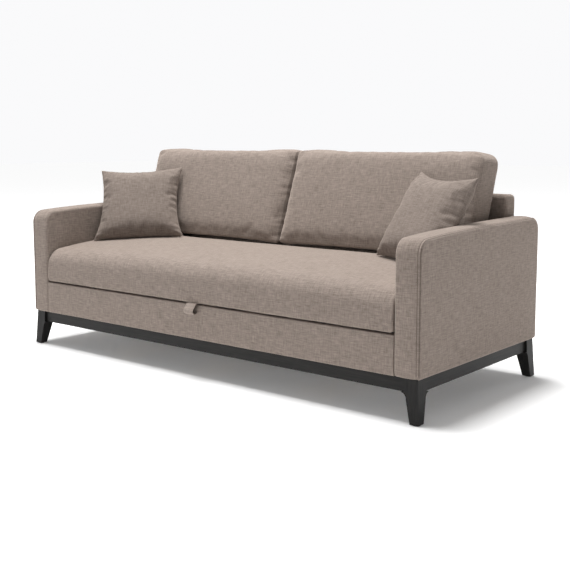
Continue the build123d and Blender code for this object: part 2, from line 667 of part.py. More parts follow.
strut_seat = Plane(
    (STRUT_X, STRUT_BOX_Y, STRUT_BOX_Z),
    x_dir=(1, 0, 0),
    z_dir=(0, STRUT_LID_Y - STRUT_BOX_Y, STRUT_LID_Z - STRUT_BOX_Z),
)
right_cylinder = strut_seat * strut_cylinder()
right_rod = strut_seat * strut_rod()
save("right_strut_cylinder", right_cylinder)
save("left_strut_cylinder", left_of(right_cylinder))
save("right_strut_rod", right_rod)
save("left_strut_rod", left_of(right_rod))

stud_end = STRUT_X - STRUT_EYE_THICKNESS / 2 - STUD_OVERHANG
box_plate = block(
    BOX_INNER - BRACKET, BOX_INNER,
    STRUT_BOX_Y - BOX_BRACKET_WIDTH / 2, STRUT_BOX_Y + BOX_BRACKET_WIDTH / 2,
    STRUT_BOX_Z - BOX_BRACKET_HEIGHT / 2, STRUT_BOX_Z + BOX_BRACKET_HEIGHT / 2,
)
box_stud = rod((stud_end, STRUT_BOX_Y, STRUT_BOX_Z), (1, 0, 0), STUD_RADIUS, BOX_INNER - stud_end)
box_bracket = box_plate + box_stud
save("strut_box_brackets", box_bracket, left_of(box_bracket))

stud_tip = STRUT_X + STRUT_EYE_THICKNESS / 2 + STUD_OVERHANG
lid_flange = block(
    LID_INNER, LID_OUTER,
    STRUT_LID_Y - LID_BRACKET_WIDTH / 2, STRUT_LID_Y + LID_BRACKET_WIDTH / 2,
    SEAT_BOTTOM - BRACKET, SEAT_BOTTOM,
)
lid_web = block(
    LID_INNER, LID_INNER + BRACKET,
    STRUT_LID_Y - LID_BRACKET_WIDTH / 2, STRUT_LID_Y + LID_BRACKET_WIDTH / 2,
    STRUT_LID_Z - 2 * STUD_RADIUS, SEAT_BOTTOM,
)
lid_stud = rod((LID_INNER, STRUT_LID_Y, STRUT_LID_Z), (1, 0, 0), STUD_RADIUS, stud_tip - LID_INNER)
lid_bracket = lid_flange + lid_web + lid_stud
save("strut_lid_brackets", lid_bracket, left_of(lid_bracket))

# Back cushions: a foam core inside a crowned cover that leans back
lean_sin = sin(radians(CUSHION_LEAN))
lean_cos = cos(radians(CUSHION_LEAN))
cushion_foot = DECK_TOP + CUSHION_CLEARANCE


def leaning(back, up):
    """A point measured back from the face plane and up along it."""
    return (CUSHION_Y + up * lean_sin + back * lean_cos, cushion_foot + up * lean_cos - back * lean_sin)


def cushion_view(x, face_draw, top_draw):
    """Side view, drawn in on the face and on the top by the given amounts."""
    face = CUSHION_CROWN + face_draw
    top = CUSHION_HEIGHT - top_draw
    rear = CUSHION_THICKNESS - CUSHION_REAR_CROWN
    front_low = leaning(face, CUSHION_FACE_LOW)
    front_high = leaning(face, CUSHION_FACE_HIGH - top_draw)
    top_front = leaning(face + CUSHION_TOP_FRONT, top)
    top_rear = leaning(CUSHION_TOP_REAR, top)
    rear_high = leaning(rear, CUSHION_REAR_HIGH)
    rear_low = leaning(rear, CUSHION_REAR_LOW)
    foot_rear = (rear_low[0] - CUSHION_FOOT_REAR, cushion_foot)
    foot_front = (front_low[0] + CUSHION_FOOT_FRONT, cushion_foot)
    return side_face(
        x,
        Line(foot_front, foot_rear),
        bow(foot_rear, rear_low, CUSHION_CORNER_BOW),
        bow(rear_low, rear_high, CUSHION_REAR_CROWN),
        bow(rear_high, top_rear, CUSHION_CORNER_BOW),
        bow(top_rear, top_front, CUSHION_TOP_BOW),
        bow(top_front, front_high, CUSHION_CORNER_BOW),
        bow(front_high, front_low, CUSHION_CROWN),
        bow(front_low, foot_front, CUSHION_CORNER_BOW),
    )


def cushion_core(start, end, clearance):
    bottom = leaning(CORE_INSET, 2 * CORE_INSET)
    thickness = CUSHION_THICKNESS - 2 * CORE_INSET - CUSHION_CROWN
    height = CUSHION_HEIGHT - 3 * CORE_INSET
    core_start = start + CORE_END_INSET
    length = end - CORE_END_INSET - core_start
    seat_plane = Plane((core_start - clearance, *bottom), x_dir=(1, 0, 0), z_dir=(0, lean_sin, lean_cos))
    solid = Box(
        length + 2 * clearance, thickness + 2 * clearance, height + 2 * clearance,
        align=(Align.MIN, Align.MIN, Align.MIN),
    )
    return seat_plane * Pos(0, -clearance, -clearance) * solid


def cushion_outside(start, end):
    cushion = loft([
        cushion_view(start, CUSHION_FACE_DRAW, CUSHION_TOP_DRAW),
        cushion_view((start + end) / 2, 0, 0),
        cushion_view(end, CUSHION_FACE_DRAW, CUSHION_TOP_DRAW),
    ])
    ends = cushion.faces().sort_by(Axis.X)
    return fillet(ends[0].edges() + ends[-1].edges(), CUSHION_END_RADIUS)


right_span = (CUSHION_SPLIT / 2 - CUSHION_SPLIT_SHIFT, CUSHION_RIGHT_END)
left_span = (CUSHION_SPLIT / 2 + CUSHION_SPLIT_SHIFT, CUSHION_LEFT_END)
save("right_back_cushion_cover", cushion_outside(*right_span) - cushion_core(*right_span, CORE_CLEARANCE))
save("left_back_cushion_cover", left_of(cushion_outside(*left_span) - cushion_core(*left_span, CORE_CLEARANCE)))
save("right_back_cushion_core", cushion_core(*right_span, 0))
save("left_back_cushion_core", left_of(cushion_core(*left_span, 0)))

# Scatter pillows: two crowned halves that meet at the seam, with drawn-in sides
def pillow_outline(offset, scale, skin):
    across = PILLOW_WIDTH / 2 * scale - skin
    up = PILLOW_HEIGHT / 2 * scale - skin
    draw = PILLOW_DRAW * scale
    corners = [(-across, -up), (across, -up), (across, up), (-across, up)]
    sides = [bow(start, end, -draw) for start, end in zip(corners, corners[1:] + corners[:1])]
    return Pos(0, offset, 0) * (Plane.XZ * make_face(Curve() + sides))


def pillow(skin):
    crown = PILLOW_HALF_THICKNESS - skin
    half = loft([
        pillow_outline(0, 1, skin),
        pillow_outline(0.66 * crown, 0.84, skin),
        pillow_outline(crown, 0.5, skin),
    ])
    return half + mirror(half, about=Plane.XZ)


def place_pillow(shape, pose, side):
    turn = Rot(0, 0, pose["yaw"]) * Rot(-pose["lean"], 0, 0) * Rot(0, pose["roll"], 0)
    x = side * (ARM_INNER - pose["from_arm"])
    return Pos(x, CUSHION_Y - pose["from_cushion"], DECK_TOP + pose["above_deck"]) * turn * shape


pillow_cover = pillow(0) - pillow(PILLOW_SKIN - CORE_CLEARANCE)
pillow_insert = pillow(PILLOW_SKIN)
for name, pose, side in (("left", LEFT_PILLOW, -1), ("right", RIGHT_PILLOW, 1)):
    save(f"{name}_pillow_cover", place_pillow(pillow_cover, pose, side))
    save(f"{name}_pillow_insert", place_pillow(pillow_insert, pose, side))
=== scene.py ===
"""Looks of the storage sofa: sewn upholstery, dark wood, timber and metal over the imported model."""
from math import atan2, ceil, cos, exp, hypot, pi, radians, sin, tan

import bmesh
import bpy
from mathutils import Matrix, Vector, noise


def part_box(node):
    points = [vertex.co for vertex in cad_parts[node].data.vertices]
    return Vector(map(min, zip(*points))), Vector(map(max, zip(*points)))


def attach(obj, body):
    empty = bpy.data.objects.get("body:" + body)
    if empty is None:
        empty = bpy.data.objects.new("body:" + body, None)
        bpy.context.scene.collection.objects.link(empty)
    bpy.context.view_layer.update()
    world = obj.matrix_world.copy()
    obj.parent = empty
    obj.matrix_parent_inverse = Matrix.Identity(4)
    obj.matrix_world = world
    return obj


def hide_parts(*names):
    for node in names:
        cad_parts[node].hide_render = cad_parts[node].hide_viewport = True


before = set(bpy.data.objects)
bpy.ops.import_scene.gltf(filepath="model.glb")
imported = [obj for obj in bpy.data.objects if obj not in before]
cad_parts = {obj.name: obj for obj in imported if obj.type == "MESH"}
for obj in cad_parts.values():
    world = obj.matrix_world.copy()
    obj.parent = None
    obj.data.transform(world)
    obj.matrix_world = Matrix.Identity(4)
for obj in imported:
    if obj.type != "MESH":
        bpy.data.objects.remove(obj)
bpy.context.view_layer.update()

# Shape of the upholstery, in metres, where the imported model's boxes don't give it
ARM_FRONT_HEIGHT = 0.606
ARM_CORNER_RADIUS = 0.048
ARM_FOOT_RADIUS = 0.012
ARM_EDGE = 0.010
ARM_TOP_BOW = 0.0085  # padding above a straight line along the arm tops
ARM_TOP_CROWN = 0.004  # and across them
ARM_RIPPLE = 0.0007
ARM_STITCH_INSET = 0.003
SEAM_DEPTH = 0.0021
SEAM_HALF_WIDTH = 0.0035
SEAM_VALLEY = 0.0018  # the padding sinks this far beside a seam
SEAM_VALLEY_WIDTH = 0.012
SEAM_START = 0.02  # seams begin this far above a piece's lower edge
# The seam at an arm's front corner is a small nick in the edge darkened by a strip of painted shade; the next
# three values place that strip.
EDGE_SEAM_INSET = 0.0043  # the seam at the front corner of an arm, in from its outer side
EDGE_SEAM_HALF_WIDTH = 0.0012
EDGE_SEAM_DEPTH = 0.012
END_ANGLES = (90, 72, 56, 45, 34, 18)  # rings round the end of a piece, in degrees from its flat side
END_SEAM_ANGLE = 45
END_SHARES = (0.985, 0.95, 0.86, 0.7, 0.5, 0.28, 0.1)  # rings on the end panel, as shares of its size
FASCIA_RADII = (0.008, 0.001, 0.001, 0.001, 0.003, 0.005)  # side view, from the lower front corner backwards
FASCIA_END = 0.0025
FASCIA_RIPPLE = 0.0005
BACK_PUFF = 0.008  # the padding stands this far above the back frame's cover line
BACK_RADII = (0.006, 0.006, 0.022, 0.018)
BACK_END = 0.012
BACK_RIPPLE = 0.0006
PAD_RADII = (0.002, 0.002, 0.002, 0.010)
SEAT_FRONT = -0.429
SEAT_FRONT_BELLY = 0.003
SEAT_RIPPLE = 0.0010
SEAT_EDGE_HEIGHT = 0.442
SEAT_ROLL_RADIUS = 0.078
SEAT_ROLL_STEPS = 16
SEAT_TOP_STEPS = 32
SEAT_CROWN_MIDDLE = 0.480
SEAT_CROWN_END = 0.462
SEAT_CORNER_DROP = 0.008
SEAT_LOWER_RADIUS = 0.007
SEAT_END = 0.009
SEAT_FRONT_SPREAD = 0.0045  # the seat swells between the fronts of the arms, in front of the hinge plates
SEAT_SPREAD_FROM = -0.12
SEAT_SPREAD_RUN = 0.12
SEAT_SPREAD_RISE = 0.010  # the underside stays as narrow as the lid frame needs
SEAT_STITCH_INSET = 0.009
SEAT_RADIUS = 0.075
HINGE_Y = 0.101
HINGE_Z = 0.405
LOOP_THICKNESS = 0.0025
LOOP_EDGE = 0.0012
LOOP_PROUD = 0.006  # the strap bows this far in front of the plain loop
LOOP_REAR = -0.4294
LOOP_BEND = 0.006
CUSHION_LEAN = radians(19.5)
CUSHION_FOOT_Y = 0.093
CUSHION_FOOT_Z = 0.4805
CUSHION_FACE = 0.016
CUSHION_REAR = 0.160
CUSHION_TOP = 0.446
CUSHION_SQUARE = 0.010
CUSHION_END_GAP = 0.004
CUSHION_REAR_RISE = 0.26  # how much less the top slopes back than square to the face
CUSHION_CORNERS = {  # round corners in front view: lower left, lower right, upper left, upper right
    "left": (0.026, 0.016, 0.024, 0.016),
    "right": (0.016, 0.026, 0.016, 0.046),
}
CUSHION_EDGES = (0.013, 0.015)  # round edges along the front seam and along the rear one
CUSHION_SPLIT_SHIFT = -0.010  # the covers press the split over to the left
CUSHION_TUCK = 0.030  # the left cushion's face falls back beside the split
CUSHION_TUCK_REACH = 0.024
SPLIT_SHADE = {"left": 0.012, "right": 0.004}  # darker linen deep in the split, on each cushion
CUSHION_STUFFING = dict(pressure=3.0, shrink=0.03, frames=18, cap=0.015, spread=0.15)
CUSHION_CLEAR_OF_LID = 0.036  # foot behind the hinge line, clear of the seat when it stands open
CUSHION_FOOT_SLOPE = 1.15
CUSHION_FOLD_DEPTH = 0.06  # the folds fade out this far behind the face
BACK_GAP = 0.0005
FOLD_PITCH = 0.017
FOLD_REACH = 0.032
CUSHION_FOLD = 0.0045
SPLIT_FOLD = 0.010
PILLOW_FOLD = 0.013
PILLOW_END_FOLD = 0.6  # folds at the upper and lower seams, as a share of those at the sides
PILLOW_FOLD_START = 26.0  # how steeply the folds grow away from the seam
PILLOW_WIDTH = 0.400
PILLOW_HEIGHT = 0.375
PILLOW_HALF_THICKNESS = 0.056
PILLOW_UNSTUFFED = 0.72  # share of the thickness before the stuffing goes in
PILLOW_FULLNESS = 0.65
PILLOW_STUFFING = dict(pressure=4.0, shrink=0.06, frames=20, cap=0.016)
PILLOW_SIDE_GAP = 0.0015  # between a pillow and the arm beside it
PILLOW_TOP_GAP = 0.001  # and above the arm or the seat
PILLOW_DRAW = 0.012
PILLOW_FOOT_DRAW = 0.003
PILLOW_SPREAD = 0.03
PILLOW_SQUARES = (58, 54)
PILLOW_POSES = {  # draw: how much further the left, right and upper sides pull in at their middles
    "left": dict(
        place=(-0.771, 0.003, 0.6336), yaw=36.7, lean=30.8, roll=-3.2, draw=(0.0, 0.010, 0.002),
        ear=(-1.0, -1.0), ear_pull=(-0.014, 0.0, -0.002),
    ),
    "right": dict(
        place=(0.766, 0.028, 0.640), yaw=-24.1, lean=28.0, roll=2.2, draw=(0.0, -0.018, 0.010),
        ear=(-1.0, 1.0), ear_pull=(0.012, 0.016, 0.004),
    ),
}
STITCH_PITCH = 0.0075
STITCH_LENGTH = 0.0050
STITCH_WIDTH = 0.0011

# Camera and light, fitted to the photograph
CAMERA_PLACE = (2.5758, -3.0055, 0.9285)
CAMERA_PITCH = 6.037
CAMERA_YAW = 39.335
CAMERA_LENS = 59.42
CAMERA_SHIFT = -0.079
FLOOR_REACH = 30.0
FLOOR_GLOW_REACH = 6.0  # far from the sofa the floor is lit as white as the backdrop
FLOOR_GLOW_NEAR = 0.09
FLOOR_GLOW_FAR = 0.60
BACKDROP_COLOUR = (0.955, 0.955, 0.965)
CEILING_COLOUR = (0.36, 0.36, 0.36)
RIGHT_SHADE = 0.70  # how much less light the studio sends from the right

# Linen: for each layer of the weave, its scale across and upward, its share of the tone and of the relief
WEAVE = {
    "thick threads across": (24.0, 300.0, 0.30, 0.3),
    "thick threads upward": (300.0, 28.0, 0.26, 0.2),
    "fine threads across": (190.0, 1150.0, 0.13, 0.3),
    "fine threads upward": (1150.0, 190.0, 0.13, 0.3),
    "mottle": (55.0, 75.0, 0.12, 0.0),
    "cloud": (9.0, 9.0, 0.06, 0.0),
}
SHEEN_TINT = (1.0, 0.86, 0.76, 1.0)


# Materials
def new_material(name, roughness, metallic=0.0):
    """A plain surface; returns the material, its nodes, its links and its shader."""
    made = bpy.data.materials.new(name)
    made.use_nodes = True
    shader = made.node_tree.nodes["Principled BSDF"]
    shader.inputs["Roughness"].default_value = roughness
    shader.inputs["Metallic"].default_value = metallic
    return made, made.node_tree.nodes, made.node_tree.links, shader


def add_noise(nodes, links, coordinates, scale, detail=2.0):
    """A noise texture over coordinates stretched by the given scale."""
    stretch = nodes.new("ShaderNodeMapping")
    stretch.inputs["Scale"].default_value = scale
    links.new(coordinates, stretch.inputs["Vector"])
    texture = nodes.new("ShaderNodeTexNoise")
    texture.inputs["Scale"].default_value = 1.0
    texture.inputs["Detail"].default_value = detail
    links.new(stretch.outputs["Vector"], texture.inputs["Vector"])
    return texture.outputs["Fac"]


def weighted_sum(nodes, links, terms):
    """The sum of several values, each times its weight."""
    total = None
    for value, weight in terms:
        step = nodes.new("ShaderNodeMath")
        step.operation = "MULTIPLY_ADD"
        links.new(value, step.inputs[0])
        step.inputs[1].default_value = weight
        step.inputs[2].default_value = 0.0
        if total is not None:
            links.new(total, step.inputs[2])
        total = step.outputs[0]
    return total


def add_ramp(nodes, links, value, low, high, dark, light):
    """A colour that runs from dark to light as the value runs from low to high."""
    ramp = nodes.new("ShaderNodeValToRGB")
    ramp.color_ramp.elements[0].position = low
    ramp.color_ramp.elements[0].color = (*dark, 1.0)
    ramp.color_ramp.elements[1].position = high
    ramp.color_ramp.elements[1].color = (*light, 1.0)
    links.new(value, ramp.inputs["Fac"])
    return ramp.outputs["Color"]


def add_bump(nodes, links, shader, height, strength, distance):
    bump = nodes.new("ShaderNodeBump")
    bump.inputs["Strength"].default_value = strength
    bump.inputs["Distance"].default_value = distance
    links.new(height, bump.inputs["Height"])
    links.new(bump.outputs["Normal"], shader.inputs["Normal"])


def linen(name, dark, light, sheen):
    """A slubbed linen weave: long thick and thin threads across and along, over a soft mottle."""
    made, nodes, links, shader = new_material(name, 0.92)
    threads = nodes.new("ShaderNodeUVMap")
    threads.uv_map = "cloth"
    toned, raised = [], []
    for scale_across, scale_upward, tone_share, relief_share in WEAVE.values():
        layer = add_noise(nodes, links, threads.outputs["UV"], (scale_across, scale_upward, 1.0))
        toned.append((layer, tone_share))
        if relief_share:
            raised.append((layer, relief_share))
    tone = weighted_sum(nodes, links, toned)
    links.new(add_ramp(nodes, links, tone, 0.37, 0.63, dark, light), shader.inputs["Base Color"])
    add_bump(nodes, links, shader, weighted_sum(nodes, links, raised), 0.55, 0.0012)
    shader.inputs["Sheen Weight"].default_value = sheen
    shader.inputs["Sheen Tint"].default_value = SHEEN_TINT
    shader.inputs["Sheen Roughness"].default_value = 0.45
    shader.inputs["Specular IOR Level"].default_value = 0.15
    return made


def wood(name, dark, light, grain, roughness):
    """Wood whose grain runs along the axis with the smallest scale."""
    made, nodes, links, shader = new_material(name, roughness)
    place = nodes.new("ShaderNodeTexCoord").outputs["Object"]
    broad = add_noise(nodes, links, place, grain, 4.0)
    pores = add_noise(nodes, links, place, tuple(4.5 * g for g in grain), 2.0)
    tone = weighted_sum(nodes, links, [(broad, 0.6), (pores, 0.4)])
    links.new(add_ramp(nodes, links, tone, 0.36, 0.64, dark, light), shader.inputs["Base Color"])
    add_bump(nodes, links, shader, pores, 0.25, 0.0006)
    shader.inputs["Specular IOR Level"].default_value = 0.22
    return made


def plain(name, colour, roughness, metallic=0.0, grain=180.0, contrast=0.12):
    """An even surface with a fine speckle."""
    made, nodes, links, shader = new_material(name, roughness, metallic)
    place = nodes.new("ShaderNodeTexCoord").outputs["Object"]
    speckle = add_noise(nodes, links, place, (grain, grain, grain), 3.0)
    dark = tuple(c * (1.0 - contrast) for c in colour)
    light = tuple(min(1.0, c * (1.0 + contrast)) for c in colour)
    links.new(add_ramp(nodes, links, speckle, 0.35, 0.65, dark, light), shader.inputs["Base Color"])
    return made


LINEN = linen("greige_linen", (0.140, 0.112, 0.094), (0.318, 0.263, 0.229), 0.35)
# The pillows' linen is the same cloth painted darker, as painted shade.
SHADED_PILLOW_LINEN = linen("pillow_linen_painted_shade", (0.112, 0.090, 0.076), (0.256, 0.212, 0.185), 0.20)
# The pull strap's linen is the same cloth painted lighter, as painted light on its upward-facing front.
LIT_STRAP_LINEN = linen("strap_linen_painted_light", (0.165, 0.135, 0.115), (0.365, 0.305, 0.268), 0.35)
# The same linen painted darker, as painted shade: it goes in seam grooves, in the gap above the fascia, in
# the hollow of the pull loop and deep in the cushions' split.
SHADE_LINEN = linen("linen_painted_shade", (0.098, 0.077, 0.064), (0.215, 0.175, 0.150), 0.2)
THREAD = plain("sewing_thread", (0.135, 0.106, 0.088), 0.85)
ACROSS, BACKWARD, UPRIGHT = (6.0, 190.0, 190.0), (190.0, 6.0, 190.0), (190.0, 190.0, 6.0)
WENGE_DARK, WENGE_LIGHT = (0.0030, 0.0027, 0.0025), (0.0135, 0.0122, 0.0112)
WENGE_ACROSS = wood("dark_wood_across", WENGE_DARK, WENGE_LIGHT, ACROSS, 0.50)
WENGE_BACKWARD = wood("dark_wood_backward", WENGE_DARK, WENGE_LIGHT, BACKWARD, 0.50)
WENGE_UPRIGHT = wood("dark_wood_upright", WENGE_DARK, WENGE_LIGHT, UPRIGHT, 0.50)
PINE_DARK, PINE_LIGHT = (0.42, 0.27, 0.14), (0.62, 0.45, 0.27)
PINE_ACROSS = wood("pine_across", PINE_DARK, PINE_LIGHT, (4.0, 90.0, 90.0), 0.70)
PINE_BACKWARD = wood("pine_backward", PINE_DARK, PINE_LIGHT, (90.0, 4.0, 90.0), 0.70)
PLY = wood("birch_plywood", (0.48, 0.34, 0.20), (0.66, 0.52, 0.35), (3.0, 60.0, 60.0), 0.65)
HARDBOARD = plain("grey_hardboard", (0.30, 0.30, 0.30), 0.80)
STEEL = plain("zinc_steel", (0.56, 0.57, 0.58), 0.38, 1.0)
STRUT_BLACK = plain("strut_tube_black", (0.025, 0.025, 0.027), 0.42)
STRUT_CHROME = plain("strut_rod_chrome", (0.72, 0.73, 0.74), 0.18, 1.0)
RUBBER = plain("bumper_rubber", (0.030, 0.030, 0.031), 0.80)
NYLON = plain("glide_nylon", (0.045, 0.044, 0.043), 0.60)
WEBBING = plain("jute_webbing", (0.40, 0.31, 0.20), 0.95, 0.0, 420.0, 0.30)

CAD_MATERIALS = {
    WENGE_ACROSS: ("plinth_front_rail", "plinth_rear_rail"),
    WENGE_BACKWARD: ("plinth_left_rail", "plinth_right_rail"),
    WENGE_UPRIGHT: ("leg_front_left", "leg_front_right", "leg_rear_left", "leg_rear_right"),
    PINE_ACROSS: ("back_frame", "deck_beams", "lid_front_rail", "lid_rear_rail"),
    PINE_BACKWARD: (
        "corner_blocks", "floor_bearers", "left_arm_frame", "right_arm_frame",
        "lid_left_rail", "lid_right_rail", "lid_slats",
    ),
    HARDBOARD: ("box_floor",),
    PLY: ("box_front_panel", "box_left_side", "box_right_side", "deck_board", "lid_deck"),
    STEEL: (
        "leg_bolts", "arm_bolts", "hinge_arm_plates", "hinge_lid_plates", "hinge_pins", "hinge_arm_screws",
        "hinge_lid_screws", "strut_box_brackets", "strut_lid_brackets",
    ),
    STRUT_BLACK: ("left_strut_cylinder", "right_strut_cylinder"),
    STRUT_CHROME: ("left_strut_rod", "right_strut_rod"),
    RUBBER: ("lid_bumpers",),
    NYLON: ("foot_glides", "hinge_washers"),
    WEBBING: ("back_webbing",),
}
for surface, names in CAD_MATERIALS.items():
    for name in names:
        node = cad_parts[name].data
        node.materials.clear()
        node.materials.append(surface)


# Meshes
def lay_cloth(mesh):
    """Lays the weave on each face from the side it faces most, one unit to the metre."""
    layer = mesh.uv_layers.new(name="cloth")
    for face in mesh.polygons:
        lean = [abs(part) for part in face.normal]
        main = lean.index(max(lean))
        for corner in face.loop_indices:
            x, y, z = mesh.vertices[mesh.loops[corner].vertex_index].co
            layer.data[corner].uv = ((y, z), (x, z), (x, y))[main]


def make_piece(name, points, faces, surface, body, nodes=(), ripple=0.0):
    """One smooth piece that rides a body and stands for the given CAD nodes, uneven by the given ripple."""
    mesh = bpy.data.meshes.new(name)
    mesh.from_pydata(points, [], faces)
    work = bmesh.new()
    work.from_mesh(mesh)
    bmesh.ops.recalc_face_normals(work, faces=work.faces)
    if ripple:
        work.normal_update()
        for point in work.verts:
            broad = noise.noise(point.co * 5.0)
            small = noise.noise(point.co * 13.0 + Vector((4.0, 1.0, 7.0)))
            point.co += point.normal * ripple * (broad + 0.6 * small)
    work.to_mesh(mesh)
    work.free()
    mesh.polygons.foreach_set("use_smooth", [True] * len(mesh.polygons))
    mesh.materials.append(surface)
    lay_cloth(mesh)
    piece = bpy.data.objects.new(name, mesh)
    bpy.context.scene.collection.objects.link(piece)
    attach(piece, body)
    if nodes:
        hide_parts(*nodes)
    return piece


def along(start, end, spacing):
    """Points from start up to, but not at, end."""
    start, end = Vector(start), Vector(end)
    steps = max(1, round((end - start).length / spacing))
    return [start.lerp(end, step / steps) for step in range(steps)]


def turned(centre, radius, first, last, steps):
    """Points on an arc between two angles in degrees, the last one left out."""
    angles = [radians(first + (last - first) * step / steps) for step in range(steps)]
    return [Vector((centre[0] + radius * cos(a), centre[1] + radius * sin(a))) for a in angles]


def arc_through(start, middle, end, steps, share=1.0):
    """Points on the circle through three points, or on the first share of it, the last one left out."""
    (ax, ay), (bx, by), (cx, cy) = start, middle, end
    twice = 2.0 * (ax * (by - cy) + bx * (cy - ay) + cx * (ay - by))
    a2, b2, c2 = ax * ax + ay * ay, bx * bx + by * by, cx * cx + cy * cy
    ux = (a2 * (by - cy) + b2 * (cy - ay) + c2 * (ay - by)) / twice
    uy = (a2 * (cx - bx) + b2 * (ax - cx) + c2 * (bx - ax)) / twice
    first = atan2(ay - uy, ax - ux)
    sweep = (atan2(cy - uy, cx - ux) - first + pi) % (2.0 * pi) - pi
    radius = hypot(ax - ux, ay - uy)
    angles = [first + sweep * share * step / steps for step in range(steps)]
    return [Vector((ux + radius * cos(a), uy + radius * sin(a))) for a in angles]


def round_corners(corners, radii, spacing):
    """Points round a polygon with round corners, anticlockwise in Y and Z."""
    bends = []
    for index, (corner, radius) in enumerate(zip(corners, radii)):
        here = Vector(corner)
        back = (Vector(corners[index - 1]) - here).normalized()
        ahead = (Vector(corners[(index + 1) % len(corners)]) - here).normalized()
        half = back.angle(ahead) / 2.0
        centre = here + (back + ahead).normalized() * radius / sin(half)
        bends.append((centre, here + back * radius / tan(half), here + ahead * radius / tan(half), radius))
    points = []
    for index, (centre, first, last, radius) in enumerate(bends):
        start = atan2(first.y - centre.y, first.x - centre.x)
        sweep = (atan2(last.y - centre.y, last.x - centre.x) - start) % (2.0 * pi)
        steps = max(4, ceil(radius * sweep / 0.010))
        points += turned(centre, radius, start * 180.0 / pi, (start + sweep) * 180.0 / pi, steps)
        points += along(last, bends[(index + 1) % len(bends)][1], spacing)
    return points


def outward(points):
    """The outward direction at each point of an anticlockwise outline."""
    count = len(points)
    ways = [(points[(i + 1) % count] - points[i - 1]).normalized() for i in range(count)]
    return [Vector((way.y, -way.x)) for way in ways]


def sections(low, high, edge, spacing, crown=0.0, grooves=(), corner_seams=()):
    """Stations along X with their insets: round ends, a crown between them, and grooves at the seams."""

    def end_rings(seamed):
        """How far in from the end the rings round it lie, and their insets, with a nick at a corner seam."""
        rings = []
        for angle in END_ANGLES:
            nick = SEAM_DEPTH if seamed and angle == END_SEAM_ANGLE else 0.0
            rings.append((edge - edge * sin(radians(angle)) + nick, edge - edge * cos(radians(angle)) + nick))
        return rings

    stations = [(low + run, inset) for run, inset in end_rings("low" in corner_seams)]
    steps = max(2, round((high - low - 2.0 * edge) / spacing))
    spots = {low + edge + (high - low - 2.0 * edge) * step / steps for step in range(steps + 1)}
    for groove in grooves:
        spots = {spot for spot in spots if abs(spot - groove) > 2.0 * SEAM_HALF_WIDTH}
        spots |= {groove + SEAM_HALF_WIDTH * side for side in (-1.0, -0.45, 0.0, 0.45, 1.0)}
    middle, reach = (low + high) / 2.0, (high - low) / 2.0 - edge
    for spot in sorted(spots):
        depth = sum(0.8 * SEAM_DEPTH * (abs(spot - g) < 0.1 * SEAM_HALF_WIDTH) for g in grooves)
        depth += sum(SEAM_VALLEY * exp(-((spot - g) / SEAM_VALLEY_WIDTH) ** 2) for g in grooves)
        stations.append((spot, depth - crown * (1.0 - ((spot - middle) / reach) ** 2)))
    stations += [(high - run, inset) for run, inset in reversed(end_rings("high" in corner_seams))]
    return stations


def loft(outline_at, stations, belly):
    """A closed skin: the outline at each station drawn in by its inset, with softly bellied ends."""
    points, faces, rings = [], [], []

    def add_ring(x, spots):
        rings.append(range(len(points), len(points) + len(spots)))
        points.extend((x, spot.x, spot.y) for spot in spots)

    def join(first, second):
        count = len(first)
        for i in range(count):
            j = (i + 1) % count
            faces.append((first[i], first[j], second[j], second[i]))

    for x, inset in stations:
        outline = outline_at(x)
        add_ring(x, [spot - out * inset for spot, out in zip(outline, outward(outline))])
    for first, second in zip(rings, rings[1:]):
        join(first, second)
    body_rings = list(rings)
    for ring, side in ((body_rings[0], -1.0), (body_rings[-1], 1.0)):
        spots = [Vector(points[i][1:]) for i in ring]
        centre = sum(spots, Vector((0.0, 0.0))) / len(spots)
        x = points[ring[0]][0]
        last = ring
        for share in END_SHARES:
            add_ring(x + side * belly * (1.0 - share * share), [centre.lerp(spot, share) for spot in spots])
            join(last, rings[-1])
            last = rings[-1]
        points.append((x + side * belly, centre.x, centre.y))
        for i in range(len(last)):
            faces.append((last[i], last[(i + 1) % len(last)], len(points) - 1))
    return points, faces


def stitch_rows(name, rows, body):
    """Rows of single stitches; each row is a list of places with the outward direction there."""
    points, faces = [], []
    corners = ((0, 1, 4), (1, 2, 4), (2, 3, 4), (3, 0, 4), (3, 2, 1, 0))
    for row in rows:
        travelled, due = 0.0, 0.5 * STITCH_PITCH
        for (start, out), (end, _) in zip(row, row[1:]):
            way = end - start
            length = way.length
            while length > 0.0 and due <= travelled + length:
                spot = start + way * ((due - travelled) / length)
                run = way.normalized() * STITCH_LENGTH / 2.0
                side = run.cross(out).normalized() * STITCH_WIDTH / 2.0
                rise = out.normalized() * STITCH_WIDTH / 2.0
                first = len(points)
                points.extend((spot - run - rise, spot + side, spot + run - rise, spot - side, spot + rise))
                faces.extend(tuple(first + i for i in face) for face in corners)
                due += STITCH_PITCH
            travelled += length
    return make_piece(name, points, faces, THREAD, body)


# Arms: flat side panels, a band over the front, top and rear, and a stitched seam on the outer edge
arm_low, arm_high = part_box("right_arm_cover")


def arm_bow(y):
    """How far the padding of an arm's top stands above a straight line."""
    share = max(0.0, min(1.0, (y - arm_low[1]) / (arm_high[1] - arm_low[1])))
    return ARM_TOP_BOW * sin(pi * share ** 0.6)


